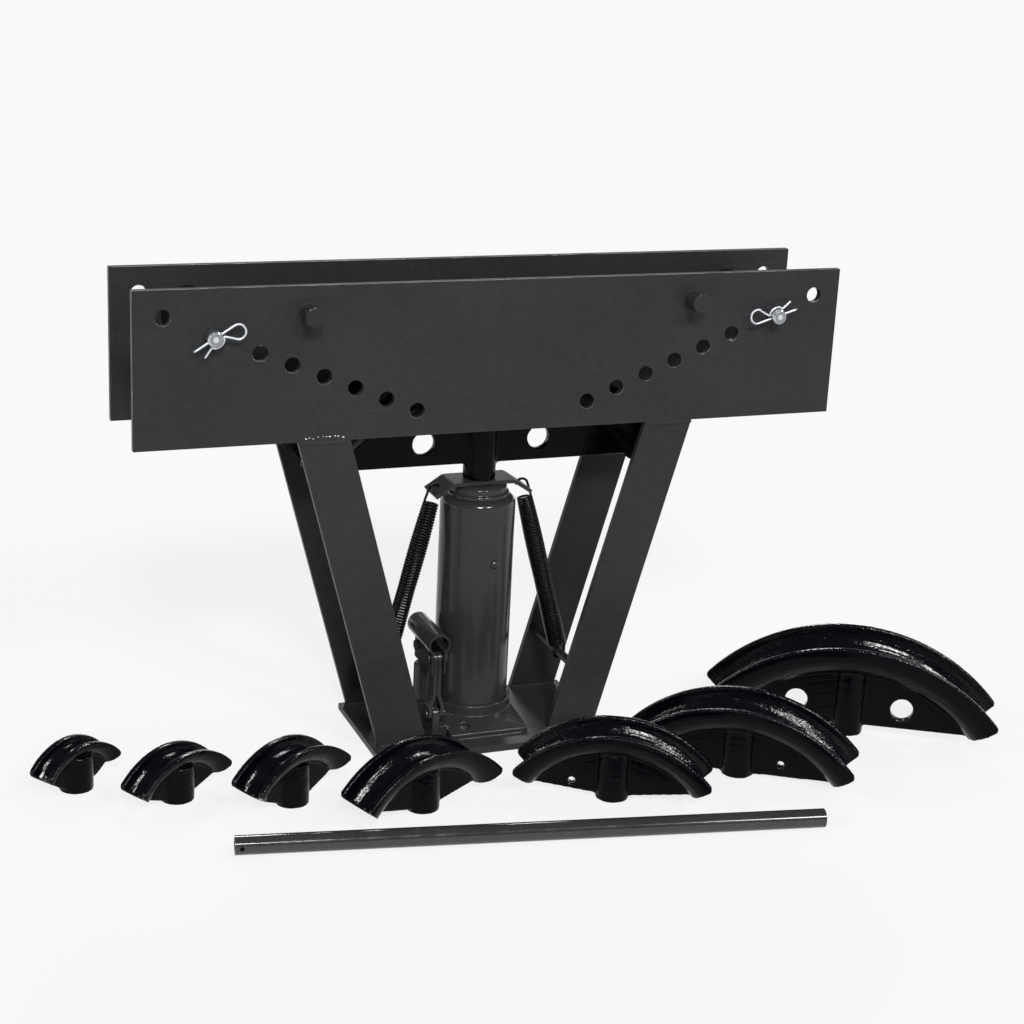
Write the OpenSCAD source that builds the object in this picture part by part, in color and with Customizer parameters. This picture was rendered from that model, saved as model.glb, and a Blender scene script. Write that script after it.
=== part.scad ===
// Hydraulic pipe bender with its set of bending dies and its pump handle.
// Millimetres, +Z up. The origin is on the jack's axis, on the face that the base plate stands on.
// The operator's side with the roller pins' clips is -Y.

/* [Frame] */
// Length of each side plate
plate_len = 800; // [760:1:900]
// Height of each side plate
plate_h = 166; // [160:1:190]
// Thickness of the side plates and of the legs below them
plate_t = 8; // [6:0.5:12]
// Free space on each side of the widest die
die_side_gap = 5.5; // [3:0.5:12]
// Height of the side plates' lower edge above the base plate
leg_rise = 358; // [340:1:420]
// Width of the flat bar that the legs are cut from
leg_bar_w = 55; // [45:1:65]
// Distance of a leg's outer edge from the jack's axis, at the side plate
leg_top_x = 227.5; // [215:0.5:250]
// Distance of a leg's outer edge from the jack's axis, at the base plate
leg_foot_x = 130.5; // [120:0.5:136]
// Width of the base plate
base_w = 276; // [276:1:320]
// Thickness of the base plate
base_t = 8; // [6:0.5:14]
// Part of the base plate in front of the front legs
base_apron = 31; // [20:1:50]
// Part of the base plate behind the rear legs
base_tail = 1.5; // [0:0.5:10]
// Diameter of the pegs on the front plate
peg_d = 21; // [14:0.5:26]
// Length of the pegs
peg_len = 24; // [12:1:30]
// Distance of the pegs from the jack's axis
peg_x = 218; // [190:1:240]
// Height of the pegs above the side plates' lower edge
peg_rise = 137; // [110:1:145]

/* [Roller holes] */
// Diameter of the roller holes
hole_d = 17; // [14:0.5:20]
// Distance of the innermost hole from the jack's axis
hole_x = 98; // [85:1:110]
// Height of the innermost hole above the plates' lower edge
hole_rise = 28; // [22:1:34]
// Number of closely spaced holes on each side
inner_holes = 6; // [4:1:6]
// Step along the plate between the close holes
inner_step_x = 34.2; // [30:0.1:36]
// Step up the plate between the close holes
inner_step_z = 13.8; // [12:0.1:15]
// Number of widely spaced holes on each side
outer_holes = 2; // [2:1:2]
// Distance of the outermost hole from the plate's end
plate_end = 31; // [24:1:40]
// Step up the plate between the wide holes
outer_step_z = 20.2; // [17:0.1:21]

/* [Rollers and pins] */
// Diameter of a roller
roller_d = 55; // [40:1:64]
// Free space between a roller's end and the side plate
roller_end_gap = 0.8; // [0.5:0.1:2]
// Radial clearance of the roller pin in its holes and in the roller
pin_gap = 0.3; // [0.2:0.05:0.5]
// Length of the roller pin in front of the front plate
pin_nose = 18; // [17:1:32]
// Diameter of the head on the pin's rear end
pin_head_d = 25; // [21:0.5:32]
// Thickness of that head
pin_head_t = 6; // [4:0.5:10]
// Wire diameter of the clip
clip_wire_d = 2.6; // [2:0.1:3]
// Distance of the clip from the pin's front end
clip_inset = 7; // [5:0.5:9]
// Length of the clip's straight leg on each side of the pin
clip_leg = 25; // [20:1:30]
// Radius of the clip's eye
clip_eye_r = 7.75; // [4.5:0.25:9]
// Angle of the left clip's straight leg
left_clip_angle = 32; // [0:1:60]
// Angle of the right clip's straight leg
right_clip_angle = 197; // [180:1:240]

/* [Jack] */
// Outer diameter of the reservoir tank
tank_d = 85; // [80:1:90]
// Wall of the reservoir tank
tank_wall = 3; // [2:0.5:4]
// Height of the reservoir tank
tank_h = 247; // [247:1:280]
// Radius of the tank's shoulder
tank_shoulder_r = 9; // [6:0.5:10]
// Wall of the base's collar around the tank
collar_wall = 3.4; // [2.5:0.1:6]
// Height of the collar above the base plate
collar_h = 27; // [24:1:32]
// Depth that the tank sits in the collar
tank_seat_depth = 7; // [4:0.5:9]
// Thickness of the gasket under the tank
gasket_t = 1; // [0.5:0.1:2]
// Thickness of the base casting's foot
foot_t = 6; // [5:0.5:9]
// Length of the base casting's foot in front of the axis
foot_front = 70; // [62:1:80]
// Length of the base casting's foot behind the axis
foot_back = 50; // [47:1:56]
// Diameter of the tank nut's flange
nut_flange_d = 70; // [68:0.5:74]
// Thickness of the tank nut's flange
nut_flange_t = 5; // [3:0.5:7]
// Height of the tank nut's cap above its flange
nut_cap_h = 9; // [7:0.5:12]
// Diameter of the tank nut's cap
nut_cap_d = 64; // [60:0.5:66]
// Outer diameter of the pressure cylinder
cylinder_od = 54; // [52:0.5:58]
// Bore of the pressure cylinder
cylinder_bore = 44; // [42:0.5:46]
// Diameter of the filler plug's dome
plug_d = 11; // [8:0.5:14]
// Height of the filler plug above the floor
plug_z = 204; // [150:1:230]
// Direction of the filler plug around the tank
plug_angle = -80; // [-110:1:-60]

/* [Ram] */
// Diameter of the ram
ram_d = 36; // [32:0.5:38]
// Gap between the tank nut and the spring bracket
bracket_lift = 0.5; // [0.4:0.1:8]
// Diameter of the ram's spigot that carries a die
spigot_d = 25; // [22:0.5:27]
// Length of the spigot above the spring bracket
spigot_len = 36; // [28:1:44]
// Thickness of the piston
piston_t = 18; // [14:1:24]
// Thickness of the cup seal under the piston
cup_t = 5; // [3:0.5:7]
// Thickness of the spring bracket's strap
strap_t = 4; // [3:0.5:5]
// Width of the strap
strap_w = 40; // [32:1:44]
// Length of the strap's flat middle on each side of the axis
strap_flat = 36; // [32:1:42]
// Length of the strap's bent ends
strap_tab = 24.5; // [22:0.5:30]
// Angle of the bent ends
strap_bend = 33; // [25:1:45]
// Radius of the bends at the middle of the strap's thickness
strap_bend_r = 9; // [6:0.5:14]

/* [Return springs] */
// Outer diameter of a spring's coils at the rod
spring_od = 22.4; // [18:0.1:24]
// Outer diameter of a spring's coils at the bracket
spring_top_od = 18.6; // [16:0.1:22]
// Wire diameter of a spring
spring_wire_d = 2.6; // [2:0.1:3]
// Number of coils in each spring
spring_coils = 42; // [36:1:42]
// Radius of the hook through the bracket
bracket_hook_r = 7; // [6.5:0.25:8]
// Run from the upper hook's middle to the coils
bracket_hook_run = 14; // [12:0.5:18]
// Run from the lower hook's middle to the coils
rod_hook_run = 11; // [10:0.5:18]
// Place of the left spring's lower hook along its rod
left_hook_y = 0; // [-20:1:20]
// Place of the right spring's lower hook along its rod
right_hook_y = -12; // [-20:1:20]
// Diameter of the rods that hold the springs' lower ends
rod_d = 10; // [8:0.5:12]
// Height of the rods above the base plate
rod_rise = 70; // [50:1:90]
// Distance of a rod's axis from the leg's inner edge
rod_inset = 12; // [8:0.5:20]

/* [Pump] */
// Distance of the pump from the jack's axis
pump_x = 62; // [60:0.5:70]
// Place of the pump barrel in front of the jack's axis
barrel_y = 12; // [8:0.5:16]
// Distance from the plunger's pin to the link's head pin
lever_arm = 42; // [38:0.5:48]
// Diameter of the pump barrel
barrel_d = 22; // [20:0.5:26]
// Length of the barrel above its collar
barrel_h = 36; // [28:1:38]
// Diameter of the barrel's collar
barrel_collar_d = 27; // [26:0.5:32]
// Height of the barrel's collar
barrel_collar_h = 8; // [6:0.5:10]
// Height of the pump block above the base plate
block_h = 31; // [28:1:34]
// Diameter of the plunger
plunger_d = 12; // [10:0.5:14]
// Diameter of the plunger's and the link's pins
pump_pin_d = 8; // [6:0.5:9]
// Height of the link's foot pin above the base plate
lug_rise = 29; // [26:0.5:32]
// Distance between the link's foot pin and its head pin
link_len = 67; // [64:0.5:72]
// Width of the base's lug between the link's straps
lug_w = 9; // [7:0.5:12]
// Thickness of each link strap
link_t = 4; // [3:0.25:4.5]
// Width of the link straps
link_w = 13; // [11:0.5:16]
// Bore of the handle socket
socket_bore = 20.8; // [18:0.1:24]
// Wall of the handle socket
socket_wall = 2.4; // [2:0.1:3]
// Length of the handle socket
socket_len = 75; // [66:1:86]
// Length of the socket in front of the link's head pin
socket_front = 10; // [9:0.5:14]
// Height of the socket's axis above its pins
socket_lift = 18; // [16.5:0.5:21]

/* [Dies] */
// Pipe diameters that the dies take, from half an inch to three inches
pipe_od = [21.3, 26.7, 33.4, 42.2, 48.3, 60.3, 73.0, 88.9];
// Radius of each die's rim, on the middle line of the bent pipe
rim_r = [63, 81, 93, 117.5, 139.5, 173.5, 220.5, 290];
// Half of the angle that each die bends through
die_half_angle = [54.5, 51, 47.5, 50, 51, 50, 51, 50];
// Height of each die's ends above its hub's foot
end_rise = [17, 13.5, 20, 10.5, 10.5, 3, 9, 9];
// Height of each die's web above its hub's foot, beside the hub
web_rise = [6, 4, 4.5, 4, 4.5, 2.5, 11, 17];
// Slope of the web's lower edge from the hub to the die's ends
web_slope = [0.39, 0.37, 0.45, 0.22, 0.11, 0.03, 0, 0];
// Wall of the dies' grooves
groove_wall = 6.5; // [5:0.25:8]
// Radius of the corners at the rims' ends
die_end_round = 6; // [2:0.5:8]
// Thickness of a die's web
web_t = 11; // [8:0.5:14]
// Angle by which the web stops short of the rim's ends
web_inset = 0.6; // [0.4:0.1:2]
// Hub diameter of the loose dies
hub_d = 36; // [34:0.5:42]
// Hub diameter of the die on the ram
big_hub_d = 37; // [35:0.5:46]
// Radial clearance of a hub on the spigot
hub_gap = 0.4; // [0.3:0.05:0.8]
// Diameter of the round holes in the two largest dies' webs
web_hole_d = 26; // [20:0.5:30]
// Diameter of the small holes in the next two dies' webs
small_web_hole_d = 8; // [6:0.5:12]

/* [Handle] */
// Outer diameter of the pump handle
handle_d = 20; // [16:0.1:20.4]
// Wall of the pump handle
handle_wall = 2.5; // [1.5:0.1:4]
// Length of the pump handle
handle_len = 616; // [500:1:640]
// Diameter of the cross hole near the handle's end
handle_hole_d = 5; // [3:0.5:8]
// Distance of that hole from the end
handle_hole_inset = 7; // [5:0.5:14]

/* [Layout on the floor] */
// Sideways places of the loose dies
die_x = [-463, -367, -254, -126, 79, 239, 418];
// Places of the loose dies in front of the jack's axis
die_y = [-60, -113, -154, -204, -234, -216, -148];
// Turn of each loose die about its hub
die_yaw = [33, 30, 30, 20, -27.5, -34.5, -30.5];
// Sideways place of the handle's left end
handle_x = -340;
// Place of the handle's left end in front of the jack's axis
handle_y = -253;
// Turn of the handle on the floor
handle_yaw = -10.2; // [-12:0.1:-8]

/* [Hidden] */
$fn = 64;
eps = 0.01;
frame_grey = [0.21, 0.215, 0.22];
die_black = [0.05, 0.05, 0.06];
bright_steel = [0.72, 0.73, 0.75];
rubber_black = [0.09, 0.09, 0.09];

// Clearances of the fits
run_gap = 0.05;
slack_gap = 0.3;
face_gap = 0.3;

// Heights and depths of the frame
big = len(pipe_od) - 1;
function die_w(i) = pipe_od[i] + 2 * groove_wall;
plate_gap = die_w(big) + 2 * die_side_gap;
frame_y = plate_gap / 2;
front_y = -frame_y - plate_t;
plate_z = base_t + leg_rise;
leg_lean = atan((leg_top_x - leg_foot_x) / leg_rise);
leg_cut_w = leg_bar_w / cos(leg_lean);
base_front = front_y - base_apron;
base_back = frame_y + plate_t + base_tail;

// Places of the roller holes, from the innermost out. The wide holes fill the way to the plate's end.
inner_end_x = hole_x + (inner_holes - 1) * inner_step_x;
outer_step_x = (plate_len / 2 - plate_end - inner_end_x) / outer_holes;
function hole_place(i) = [
    hole_x + min(i, inner_holes - 1) * inner_step_x + max(i - inner_holes + 1, 0) * outer_step_x,
    plate_z + hole_rise + min(i, inner_holes - 1) * inner_step_z
        + max(i - inner_holes + 1, 0) * outer_step_z];
hole_count = inner_holes + outer_holes;
roller_hole = hole_count - 2;
roller_x = hole_place(roller_hole)[0];
roller_z = hole_place(roller_hole)[1];
pin_d = hole_d - 2 * pin_gap;
clip_y = front_y - pin_nose + clip_inset;

// Heights of the jack, from the base plate up
collar_z = base_t + collar_h;
seat_z = collar_z - tank_seat_depth;
tank_z = seat_z + gasket_t;
tank_top = tank_z + tank_h;
collar_r = tank_d / 2 + slack_gap + collar_wall;
tank_mouth_r = nut_flange_d / 2 - 2.5;
cylinder_seat = 8;
cylinder_z = seat_z - cylinder_seat;
cylinder_top = tank_top - 4;
nut_skirt = 14;
nut_cap_z = tank_top + nut_flange_t;
nut_top = nut_cap_z + nut_cap_h;
wiper_w = 4;
wiper_h = 4.5;
wiper_lip = 1;
wiper_z = nut_top - wiper_h - wiper_lip - 0.3;
cup_z = cylinder_z + 1;
piston_z = cup_z + cup_t;
piston_stub_d = ram_d - 12;
bracket_z = nut_top + bracket_lift;
die_z = bracket_z + strap_t + face_gap;

// Places of the pump, on the left of the jack
pump_cx = -pump_x;
barrel_cy = -barrel_y;
link_cy = barrel_cy - lever_arm;
block_z = base_t + block_h;
barrel_z = block_z + barrel_collar_h;
barrel_top = barrel_z + barrel_h;
lug_z = base_t + lug_rise;
lever_z = lug_z + link_len;
socket_z = lever_z + socket_lift;
socket_r = socket_bore / 2 + socket_wall;
barrel_seat_d = barrel_d - 4;
barrel_seat_z = block_z - 14;
passage_d = 8;
passage_z = base_t + 11;
eye_r = pump_pin_d / 2 + 4;
flange_in = link_t + 0.4 + 1.6;
plunger_eye_w = 2 * flange_in - 1;
plunger_slot_r = pump_pin_d / 2 + 0.8;
plunger_slot_half = 1.8;
valve_y = 26;
valve_d = 12;
valve_z = base_t + 12;
valve_face = pump_cx - 16;

// Ends of the return springs
function leg_inner_x(z) = leg_foot_x + (z - base_t) / leg_rise * (leg_top_x - leg_foot_x) - leg_cut_w;
rod_z = base_t + rod_rise;
rod_x = leg_inner_x(rod_z) + rod_inset;
rod_hook_r = rod_d / 2 + spring_wire_d / 2 + 0.45;
hook_back = bracket_hook_r - spring_wire_d / 2 - 0.7;
strap_mid_z = bracket_z + strap_t / 2;
tab_dir = [cos(strap_bend), -sin(strap_bend)];
hook_mid = [strap_flat, strap_mid_z] + (strap_tab - hook_back) * tab_dir;
strap_hole_at = strap_tab - hook_back - bracket_hook_r;
strap_hole_d = spring_wire_d + 2.4;
coil_steps = 8;

// The screwed plug over the base's oil passage, and the plunger's seal
base_plug_d = 12;
base_plug_x = -26;
base_plug_y = 14 - foot_front;
base_plug_z = base_t + 3;
plunger_foot = barrel_seat_z + 6;
seal_z = plunger_foot + 4;
seal_h = 3;
seal_bore = plunger_d - 4;

// Frame

module flat_leg(side, y) {
    top = [side * leg_top_x, plate_z];
    foot = [side * leg_foot_x, base_t];
    inward = [-side * leg_cut_w, 0];
    translate([0, y + plate_t, 0]) rotate([90, 0, 0]) linear_extrude(plate_t)
        polygon([top, top + inward, foot + inward, foot]);
}

module side_plate(y) {
    difference() {
        translate([-plate_len / 2, y, plate_z]) cube([plate_len, plate_t, plate_h]);
        for (side = [-1, 1], i = [0 : hole_count - 1])
            translate([side * hole_place(i)[0], y - 1, hole_place(i)[1]]) rotate([-90, 0, 0])
                cylinder(d = hole_d, h = plate_t + 2);
    }
}

module base_plate() {
    color(frame_grey) translate([-base_w / 2, base_front, 0])
        cube([base_w, base_back - base_front, base_t]);
}

module front_left_leg() { color(frame_grey) flat_leg(-1, front_y); }
module front_right_leg() { color(frame_grey) flat_leg(1, front_y); }
module rear_left_leg() { color(frame_grey) flat_leg(-1, frame_y); }
module rear_right_leg() { color(frame_grey) flat_leg(1, frame_y); }
module front_side_plate() { color(frame_grey) side_plate(front_y); }
module rear_side_plate() { color(frame_grey) side_plate(frame_y); }

// Two round pegs on the front plate, with a turned chamfer at the free end
module plate_pegs() {
    chamfer = 1;
    color(frame_grey) for (side = [-1, 1])
        translate([side * peg_x, front_y, plate_z + peg_rise]) rotate([90, 0, 0]) rotate_extrude()
            polygon([[0, 0], [peg_d / 2, 0], [peg_d / 2, peg_len - chamfer],
                [peg_d / 2 - chamfer, peg_len], [0, peg_len]]);
}

module spring_rod(side) {
    translate([side * rod_x, -frame_y, rod_z]) rotate([-90, 0, 0]) cylinder(d = rod_d, h = plate_gap);
}
module left_spring_rod() { color(frame_grey) spring_rod(-1); }
module right_spring_rod() { color(frame_grey) spring_rod(1); }

// Rollers, pins and clips

module roller(side) {
    edge = 2;
    len = plate_gap - 2 * roller_end_gap;
    translate([side * roller_x, len / 2, roller_z]) rotate([90, 0, 0]) rotate_extrude()
        polygon([[hole_d / 2, 0], [roller_d / 2 - edge, 0], [roller_d / 2, edge],
            [roller_d / 2, len - edge], [roller_d / 2 - edge, len], [hole_d / 2, len]]);
}
module left_roller() { color(die_black) roller(-1); }
module right_roller() { color(die_black) roller(1); }

// A headed pin, pushed in from behind, with a cross hole for its clip
module roller_pin(side, clip_angle) {
    nose = 1.5;
    tail = frame_y + plate_t + face_gap;
    front = front_y - pin_nose;
    difference() {
        translate([side * roller_x, tail + pin_head_t, roller_z]) rotate([90, 0, 0]) rotate_extrude()
            polygon([[0, 0], [pin_head_d / 2, 0], [pin_head_d / 2, pin_head_t], [pin_d / 2, pin_head_t],
                [pin_d / 2, tail + pin_head_t - front - nose],
                [pin_d / 2 - nose, tail + pin_head_t - front], [0, tail + pin_head_t - front]]);
        translate([side * roller_x, clip_y, roller_z]) rotate([0, 90 - clip_angle, 0])
            cylinder(d = clip_wire_d + 1, h = pin_d + 2, center = true);
    }
}
module left_roller_pin() { color(bright_steel) roller_pin(-1, left_clip_angle); }
module right_roller_pin() { color(bright_steel) roller_pin(1, right_clip_angle); }

// A tube swept along points: one ring of sides for each point, carried from ring to ring without twist
function unit(v) = v / norm(v);
function tangent(p, i) = unit(p[min(i + 1, len(p) - 1)] - p[max(i - 1, 0)]);
function flat_to(v, t) = unit(v - (v * t) * t);
function carried(p, first) = [for (i = 0, n = flat_to(first, tangent(p, 0)); i < len(p);
    i = i + 1, n = i < len(p) ? flat_to(n, tangent(p, i)) : n) n];

module swept_wire(p, d, first, sides = 6) {
    side_dir = carried(p, first);
    rings = [for (i = [0 : len(p) - 1], k = [0 : sides - 1])
        p[i] + d / 2 * (cos(360 * k / sides) * side_dir[i]
            + sin(360 * k / sides) * cross(tangent(p, i), side_dir[i]))];
    last = (len(p) - 1) * sides;
    walls = [for (i = [0 : len(p) - 2], k = [0 : sides - 1], half = [0, 1])
        let (a = i * sides + k, b = i * sides + (k + 1) % sides)
        half == 0 ? [a, a + sides, b] : [b, a + sides, b + sides]];
    caps = [for (k = [1 : sides - 2], end = [0, 1])
        end == 0 ? [0, k, k + 1] : [last, last + k + 1, last + k]];
    polyhedron(points = rings, faces = concat(walls, caps), convexity = 10);
}

// A hairpin clip in its own plane: straight leg through the pin, eye, and a leg humped round the pin
function clip_path() = let (
        hump_r = pin_d / 2 + clip_wire_d / 2 + 0.5,
        eye = [clip_leg - 1, -clip_eye_r],
        start = -22,
        stop = -138)
    concat(
        [[-clip_leg, 0], [-clip_leg / 2, 0], [0, 0], [clip_leg / 2, 0]],
        [for (a = [90 : -20 : -150]) eye + clip_eye_r * [cos(a), sin(a)]],
        [for (a = [start : -14.5 : stop]) hump_r * [cos(a), sin(a)]],
        [[-hump_r - 3.5, -hump_r + 1], [-hump_r - 9, -hump_r - 1.5]]);

module pin_clip(side, angle) {
    path = [for (q = clip_path()) [q[0], 0, q[1]]];
    translate([side * roller_x, clip_y, roller_z]) rotate([0, -angle, 0])
        swept_wire(path, clip_wire_d, [0, 1, 0], 8);
}
module left_pin_clip() { color(bright_steel) pin_clip(-1, left_clip_angle); }
module right_pin_clip() { color(bright_steel) pin_clip(1, right_clip_angle); }

// Jack

// The cast base: a foot that rises to the tank's collar, a pump block and the link's lug
module jack_base() {
    lug_l = 14;
    color(frame_grey) difference() {
        union() {
            hull() {
                translate([-collar_r, -foot_front, base_t])
                    cube([2 * collar_r, foot_front + foot_back, foot_t]);
                translate([0, 0, base_t]) cylinder(r = collar_r, h = foot_t + 8, $fn = 48);
            }
            translate([0, 0, base_t]) cylinder(r = collar_r, h = collar_h);
            translate([pump_cx, barrel_cy, base_t]) cylinder(d = barrel_collar_d + 7, h = block_h);
            translate([pump_cx - 12, barrel_cy, base_t])
                cube([pump_x + 12 - collar_r + 12, valve_y + 12 - barrel_cy, block_h - 7]);
            translate([valve_face, valve_y - 10, base_t]) cube([20, 22, block_h - 7]);
            translate([pump_cx - lug_w / 2, link_cy - lug_l / 2, base_t])
                cube([lug_w, lug_l, lug_rise]);
            translate([pump_cx - lug_w / 2, link_cy, lug_z]) rotate([0, 90, 0])
                cylinder(d = lug_l, h = lug_w);
            translate([pump_cx - lug_w / 2, link_cy, base_t])
                cube([lug_w + 14, barrel_cy - link_cy, 12]);
        }
        translate([0, 0, seat_z]) cylinder(r = tank_d / 2 + slack_gap, h = collar_h);
        translate([0, 0, cylinder_z]) cylinder(d = cylinder_od + 2 * run_gap, h = collar_h);
        translate([pump_cx, barrel_cy, barrel_seat_z])
            cylinder(d = barrel_seat_d + 2 * run_gap, h = block_h);
        translate([pump_cx, barrel_cy, passage_z - passage_d / 2]) cylinder(d = passage_d, h = block_h);
        translate([pump_cx, barrel_cy, passage_z]) rotate([0, 90, 0])
            cylinder(d = passage_d, h = pump_x - cylinder_bore / 4);
        translate([-cylinder_bore / 4, barrel_cy, passage_z]) cylinder(d = passage_d, h = collar_h);
        translate([pump_cx - lug_w, link_cy, lug_z]) rotate([0, 90, 0])
            cylinder(d = pump_pin_d + 2 * run_gap, h = 2 * lug_w);
        translate([valve_face - 1, valve_y, valve_z]) rotate([0, 90, 0])
            cylinder(d = valve_d + 2 * run_gap, h = 25);
        translate([base_plug_x, base_plug_y, base_plug_z]) cylinder(d = base_plug_d + 2 * run_gap, h = 40);
    }
}

module base_plug() {
    color(frame_grey) difference() {
        translate([base_plug_x, base_plug_y, base_plug_z]) cylinder(d = base_plug_d, h = 4.5);
        translate([base_plug_x, base_plug_y, base_plug_z + 2]) cylinder(d = 6, h = 5, $fn = 6);
    }
}

// The suction and pressure valves' steel balls, loose in the base's passage
module check_balls() {
    ball_d = passage_d - 0.6;
    color(bright_steel) for (at = [pump_cx, -collar_r + 6])
        translate([at, barrel_cy, passage_z]) sphere(d = ball_d);
}

module pressure_cylinder() {
    color(bright_steel) translate([0, 0, cylinder_z]) difference() {
        cylinder(d = cylinder_od, h = cylinder_top - cylinder_z);
        translate([0, 0, -1]) cylinder(d = cylinder_bore, h = cylinder_top - cylinder_z + 2);
    }
}

// The drawn tank, with a round shoulder and an open mouth under the nut
module reservoir_tank() {
    r = tank_d / 2;
    s = tank_shoulder_r;
    outer = concat([[r, tank_z]], [for (a = [0 : 15 : 90]) [r - s + s * cos(a), tank_top - s + s * sin(a)]]);
    inner_s = s - tank_wall;
    inner = concat([for (a = [90 : -15 : 0])
        [r - s + inner_s * cos(a), tank_top - s + inner_s * sin(a)]], [[r - tank_wall, tank_z]]);
    lip = [[tank_mouth_r, tank_top], [tank_mouth_r, tank_top - tank_wall]];
    color(frame_grey) difference() {
        rotate_extrude($fn = 96) polygon(concat(outer, lip, inner));
        translate([0, 0, plug_z]) rotate([0, 0, plug_angle]) rotate([0, 90, 0])
            cylinder(d = plug_d - 4, h = tank_d);
    }
}

module tank_gasket() {
    color(rubber_black) translate([0, 0, seat_z]) difference() {
        cylinder(d = tank_d, h = gasket_t);
        translate([0, 0, -1]) cylinder(d = tank_d - 2 * tank_wall, h = gasket_t + 2);
    }
}

// The nut that holds the tank down: a round flange, a round cap, and a skirt over the cylinder's top
module tank_nut() {
    flange_r = nut_flange_d / 2;
    flange_chamfer = 1.5;
    cap_r = nut_cap_d / 2;
    cap_chamfer = 3;
    color(frame_grey) difference() {
        union() {
            rotate_extrude() polygon([[0, tank_top], [flange_r, tank_top],
                [flange_r, nut_cap_z - flange_chamfer], [flange_r - flange_chamfer, nut_cap_z],
                [cap_r, nut_cap_z], [cap_r, nut_top - cap_chamfer], [cap_r - cap_chamfer, nut_top],
                [0, nut_top]]);
            translate([0, 0, tank_top - nut_skirt])
                cylinder(r = tank_mouth_r - slack_gap, h = nut_skirt + 1);
        }
        translate([0, 0, tank_top - nut_skirt - 1])
            cylinder(d = cylinder_od + 2 * run_gap, h = cylinder_top - tank_top + nut_skirt + 1);
        translate([0, 0, tank_top - nut_skirt - 1]) cylinder(d = ram_d + 2 * run_gap, h = 60);
        translate([0, 0, wiper_z]) cylinder(d = ram_d + 2 * wiper_w, h = 20);
    }
}

module ram_wiper() {
    color(rubber_black) translate([0, 0, wiper_z]) rotate_extrude()
        polygon([[ram_d / 2 + run_gap, 0], [ram_d / 2 + wiper_w - run_gap, 0],
            [ram_d / 2 + wiper_w - run_gap, wiper_h], [ram_d / 2 + wiper_w / 2, wiper_h + wiper_lip],
            [ram_d / 2 + run_gap, wiper_h]]);
}

// A rubber plug with a domed head outside the tank and a barb inside
module filler_plug() {
    stem = plug_d - 4;
    dome = plug_d / 2;
    color(frame_grey) translate([0, 0, plug_z]) rotate([0, 0, plug_angle])
        translate([tank_d / 2 + 0.5, 0, 0]) rotate([0, 90, 0]) {
            intersection() {
                translate([0, 0, -dome * 0.5]) sphere(r = dome * 1.12);
                cylinder(d = plug_d, h = dome);
            }
            translate([0, 0, -tank_wall - 3]) cylinder(d = stem - 2 * run_gap, h = tank_wall + 3 + eps);
        }
}

module pump_barrel() {
    lip = 2;
    color(frame_grey) difference() {
        union() {
            translate([pump_cx, barrel_cy, barrel_seat_z + 1]) cylinder(d = barrel_seat_d, h = 20);
            translate([pump_cx, barrel_cy, block_z])
                cylinder(d = barrel_collar_d, h = barrel_collar_h, $fn = 6);
            translate([pump_cx, barrel_cy, barrel_z - 1]) cylinder(d = barrel_d, h = barrel_h + 1 - lip);
            translate([pump_cx, barrel_cy, barrel_top - lip])
                cylinder(d1 = barrel_d, d2 = barrel_d - 2 * lip, h = lip);
        }
        translate([pump_cx, barrel_cy, 0]) cylinder(d = plunger_d + 2 * run_gap, h = 200);
    }
}

// The screw that lets the oil back, with a slot across its head for the handle's end
module release_valve() {
    head = 12;
    head_d = valve_d + 5;
    color(bright_steel) difference() {
        union() {
            translate([valve_face, valve_y, valve_z]) rotate([0, 90, 0]) cylinder(d = valve_d, h = 20);
            translate([valve_face - face_gap - head, valve_y, valve_z]) rotate([0, 90, 0])
                cylinder(d = head_d, h = head);
            translate([valve_face - face_gap - 1, valve_y, valve_z]) rotate([0, 90, 0])
                cylinder(d = valve_d, h = 5);
        }
        translate([valve_face - face_gap - head - 1, valve_y - 2, valve_z - head_d])
            cube([5, 4, 2 * head_d]);
    }
}

// Ram

module ram_rod() {
    nose = 1.5;
    top = bracket_z + strap_t + spigot_len;
    foot = piston_z + piston_t;
    color(bright_steel) rotate_extrude() polygon([[0, piston_z], [piston_stub_d / 2, piston_z],
        [piston_stub_d / 2, foot], [ram_d / 2, foot], [ram_d / 2, bracket_z], [spigot_d / 2, bracket_z],
        [spigot_d / 2, top - nose], [spigot_d / 2 - nose, top], [0, top]]);
}

module ram_piston() {
    groove = 2;
    r = cylinder_bore / 2 - run_gap;
    color(bright_steel) rotate_extrude() polygon([[piston_stub_d / 2 + run_gap, piston_z], [r, piston_z],
        [r, piston_z + 6], [r - groove, piston_z + 6], [r - groove, piston_z + 9], [r, piston_z + 9],
        [r, piston_z + piston_t], [piston_stub_d / 2 + run_gap, piston_z + piston_t]]);
}

module piston_cup() {
    r = cylinder_bore / 2 - run_gap;
    color(rubber_black) rotate_extrude() polygon([[0, cup_z + 2], [r - 4, cup_z + 2], [r - 2, cup_z],
        [r, cup_z], [r, piston_z], [0, piston_z]]);
}

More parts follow.
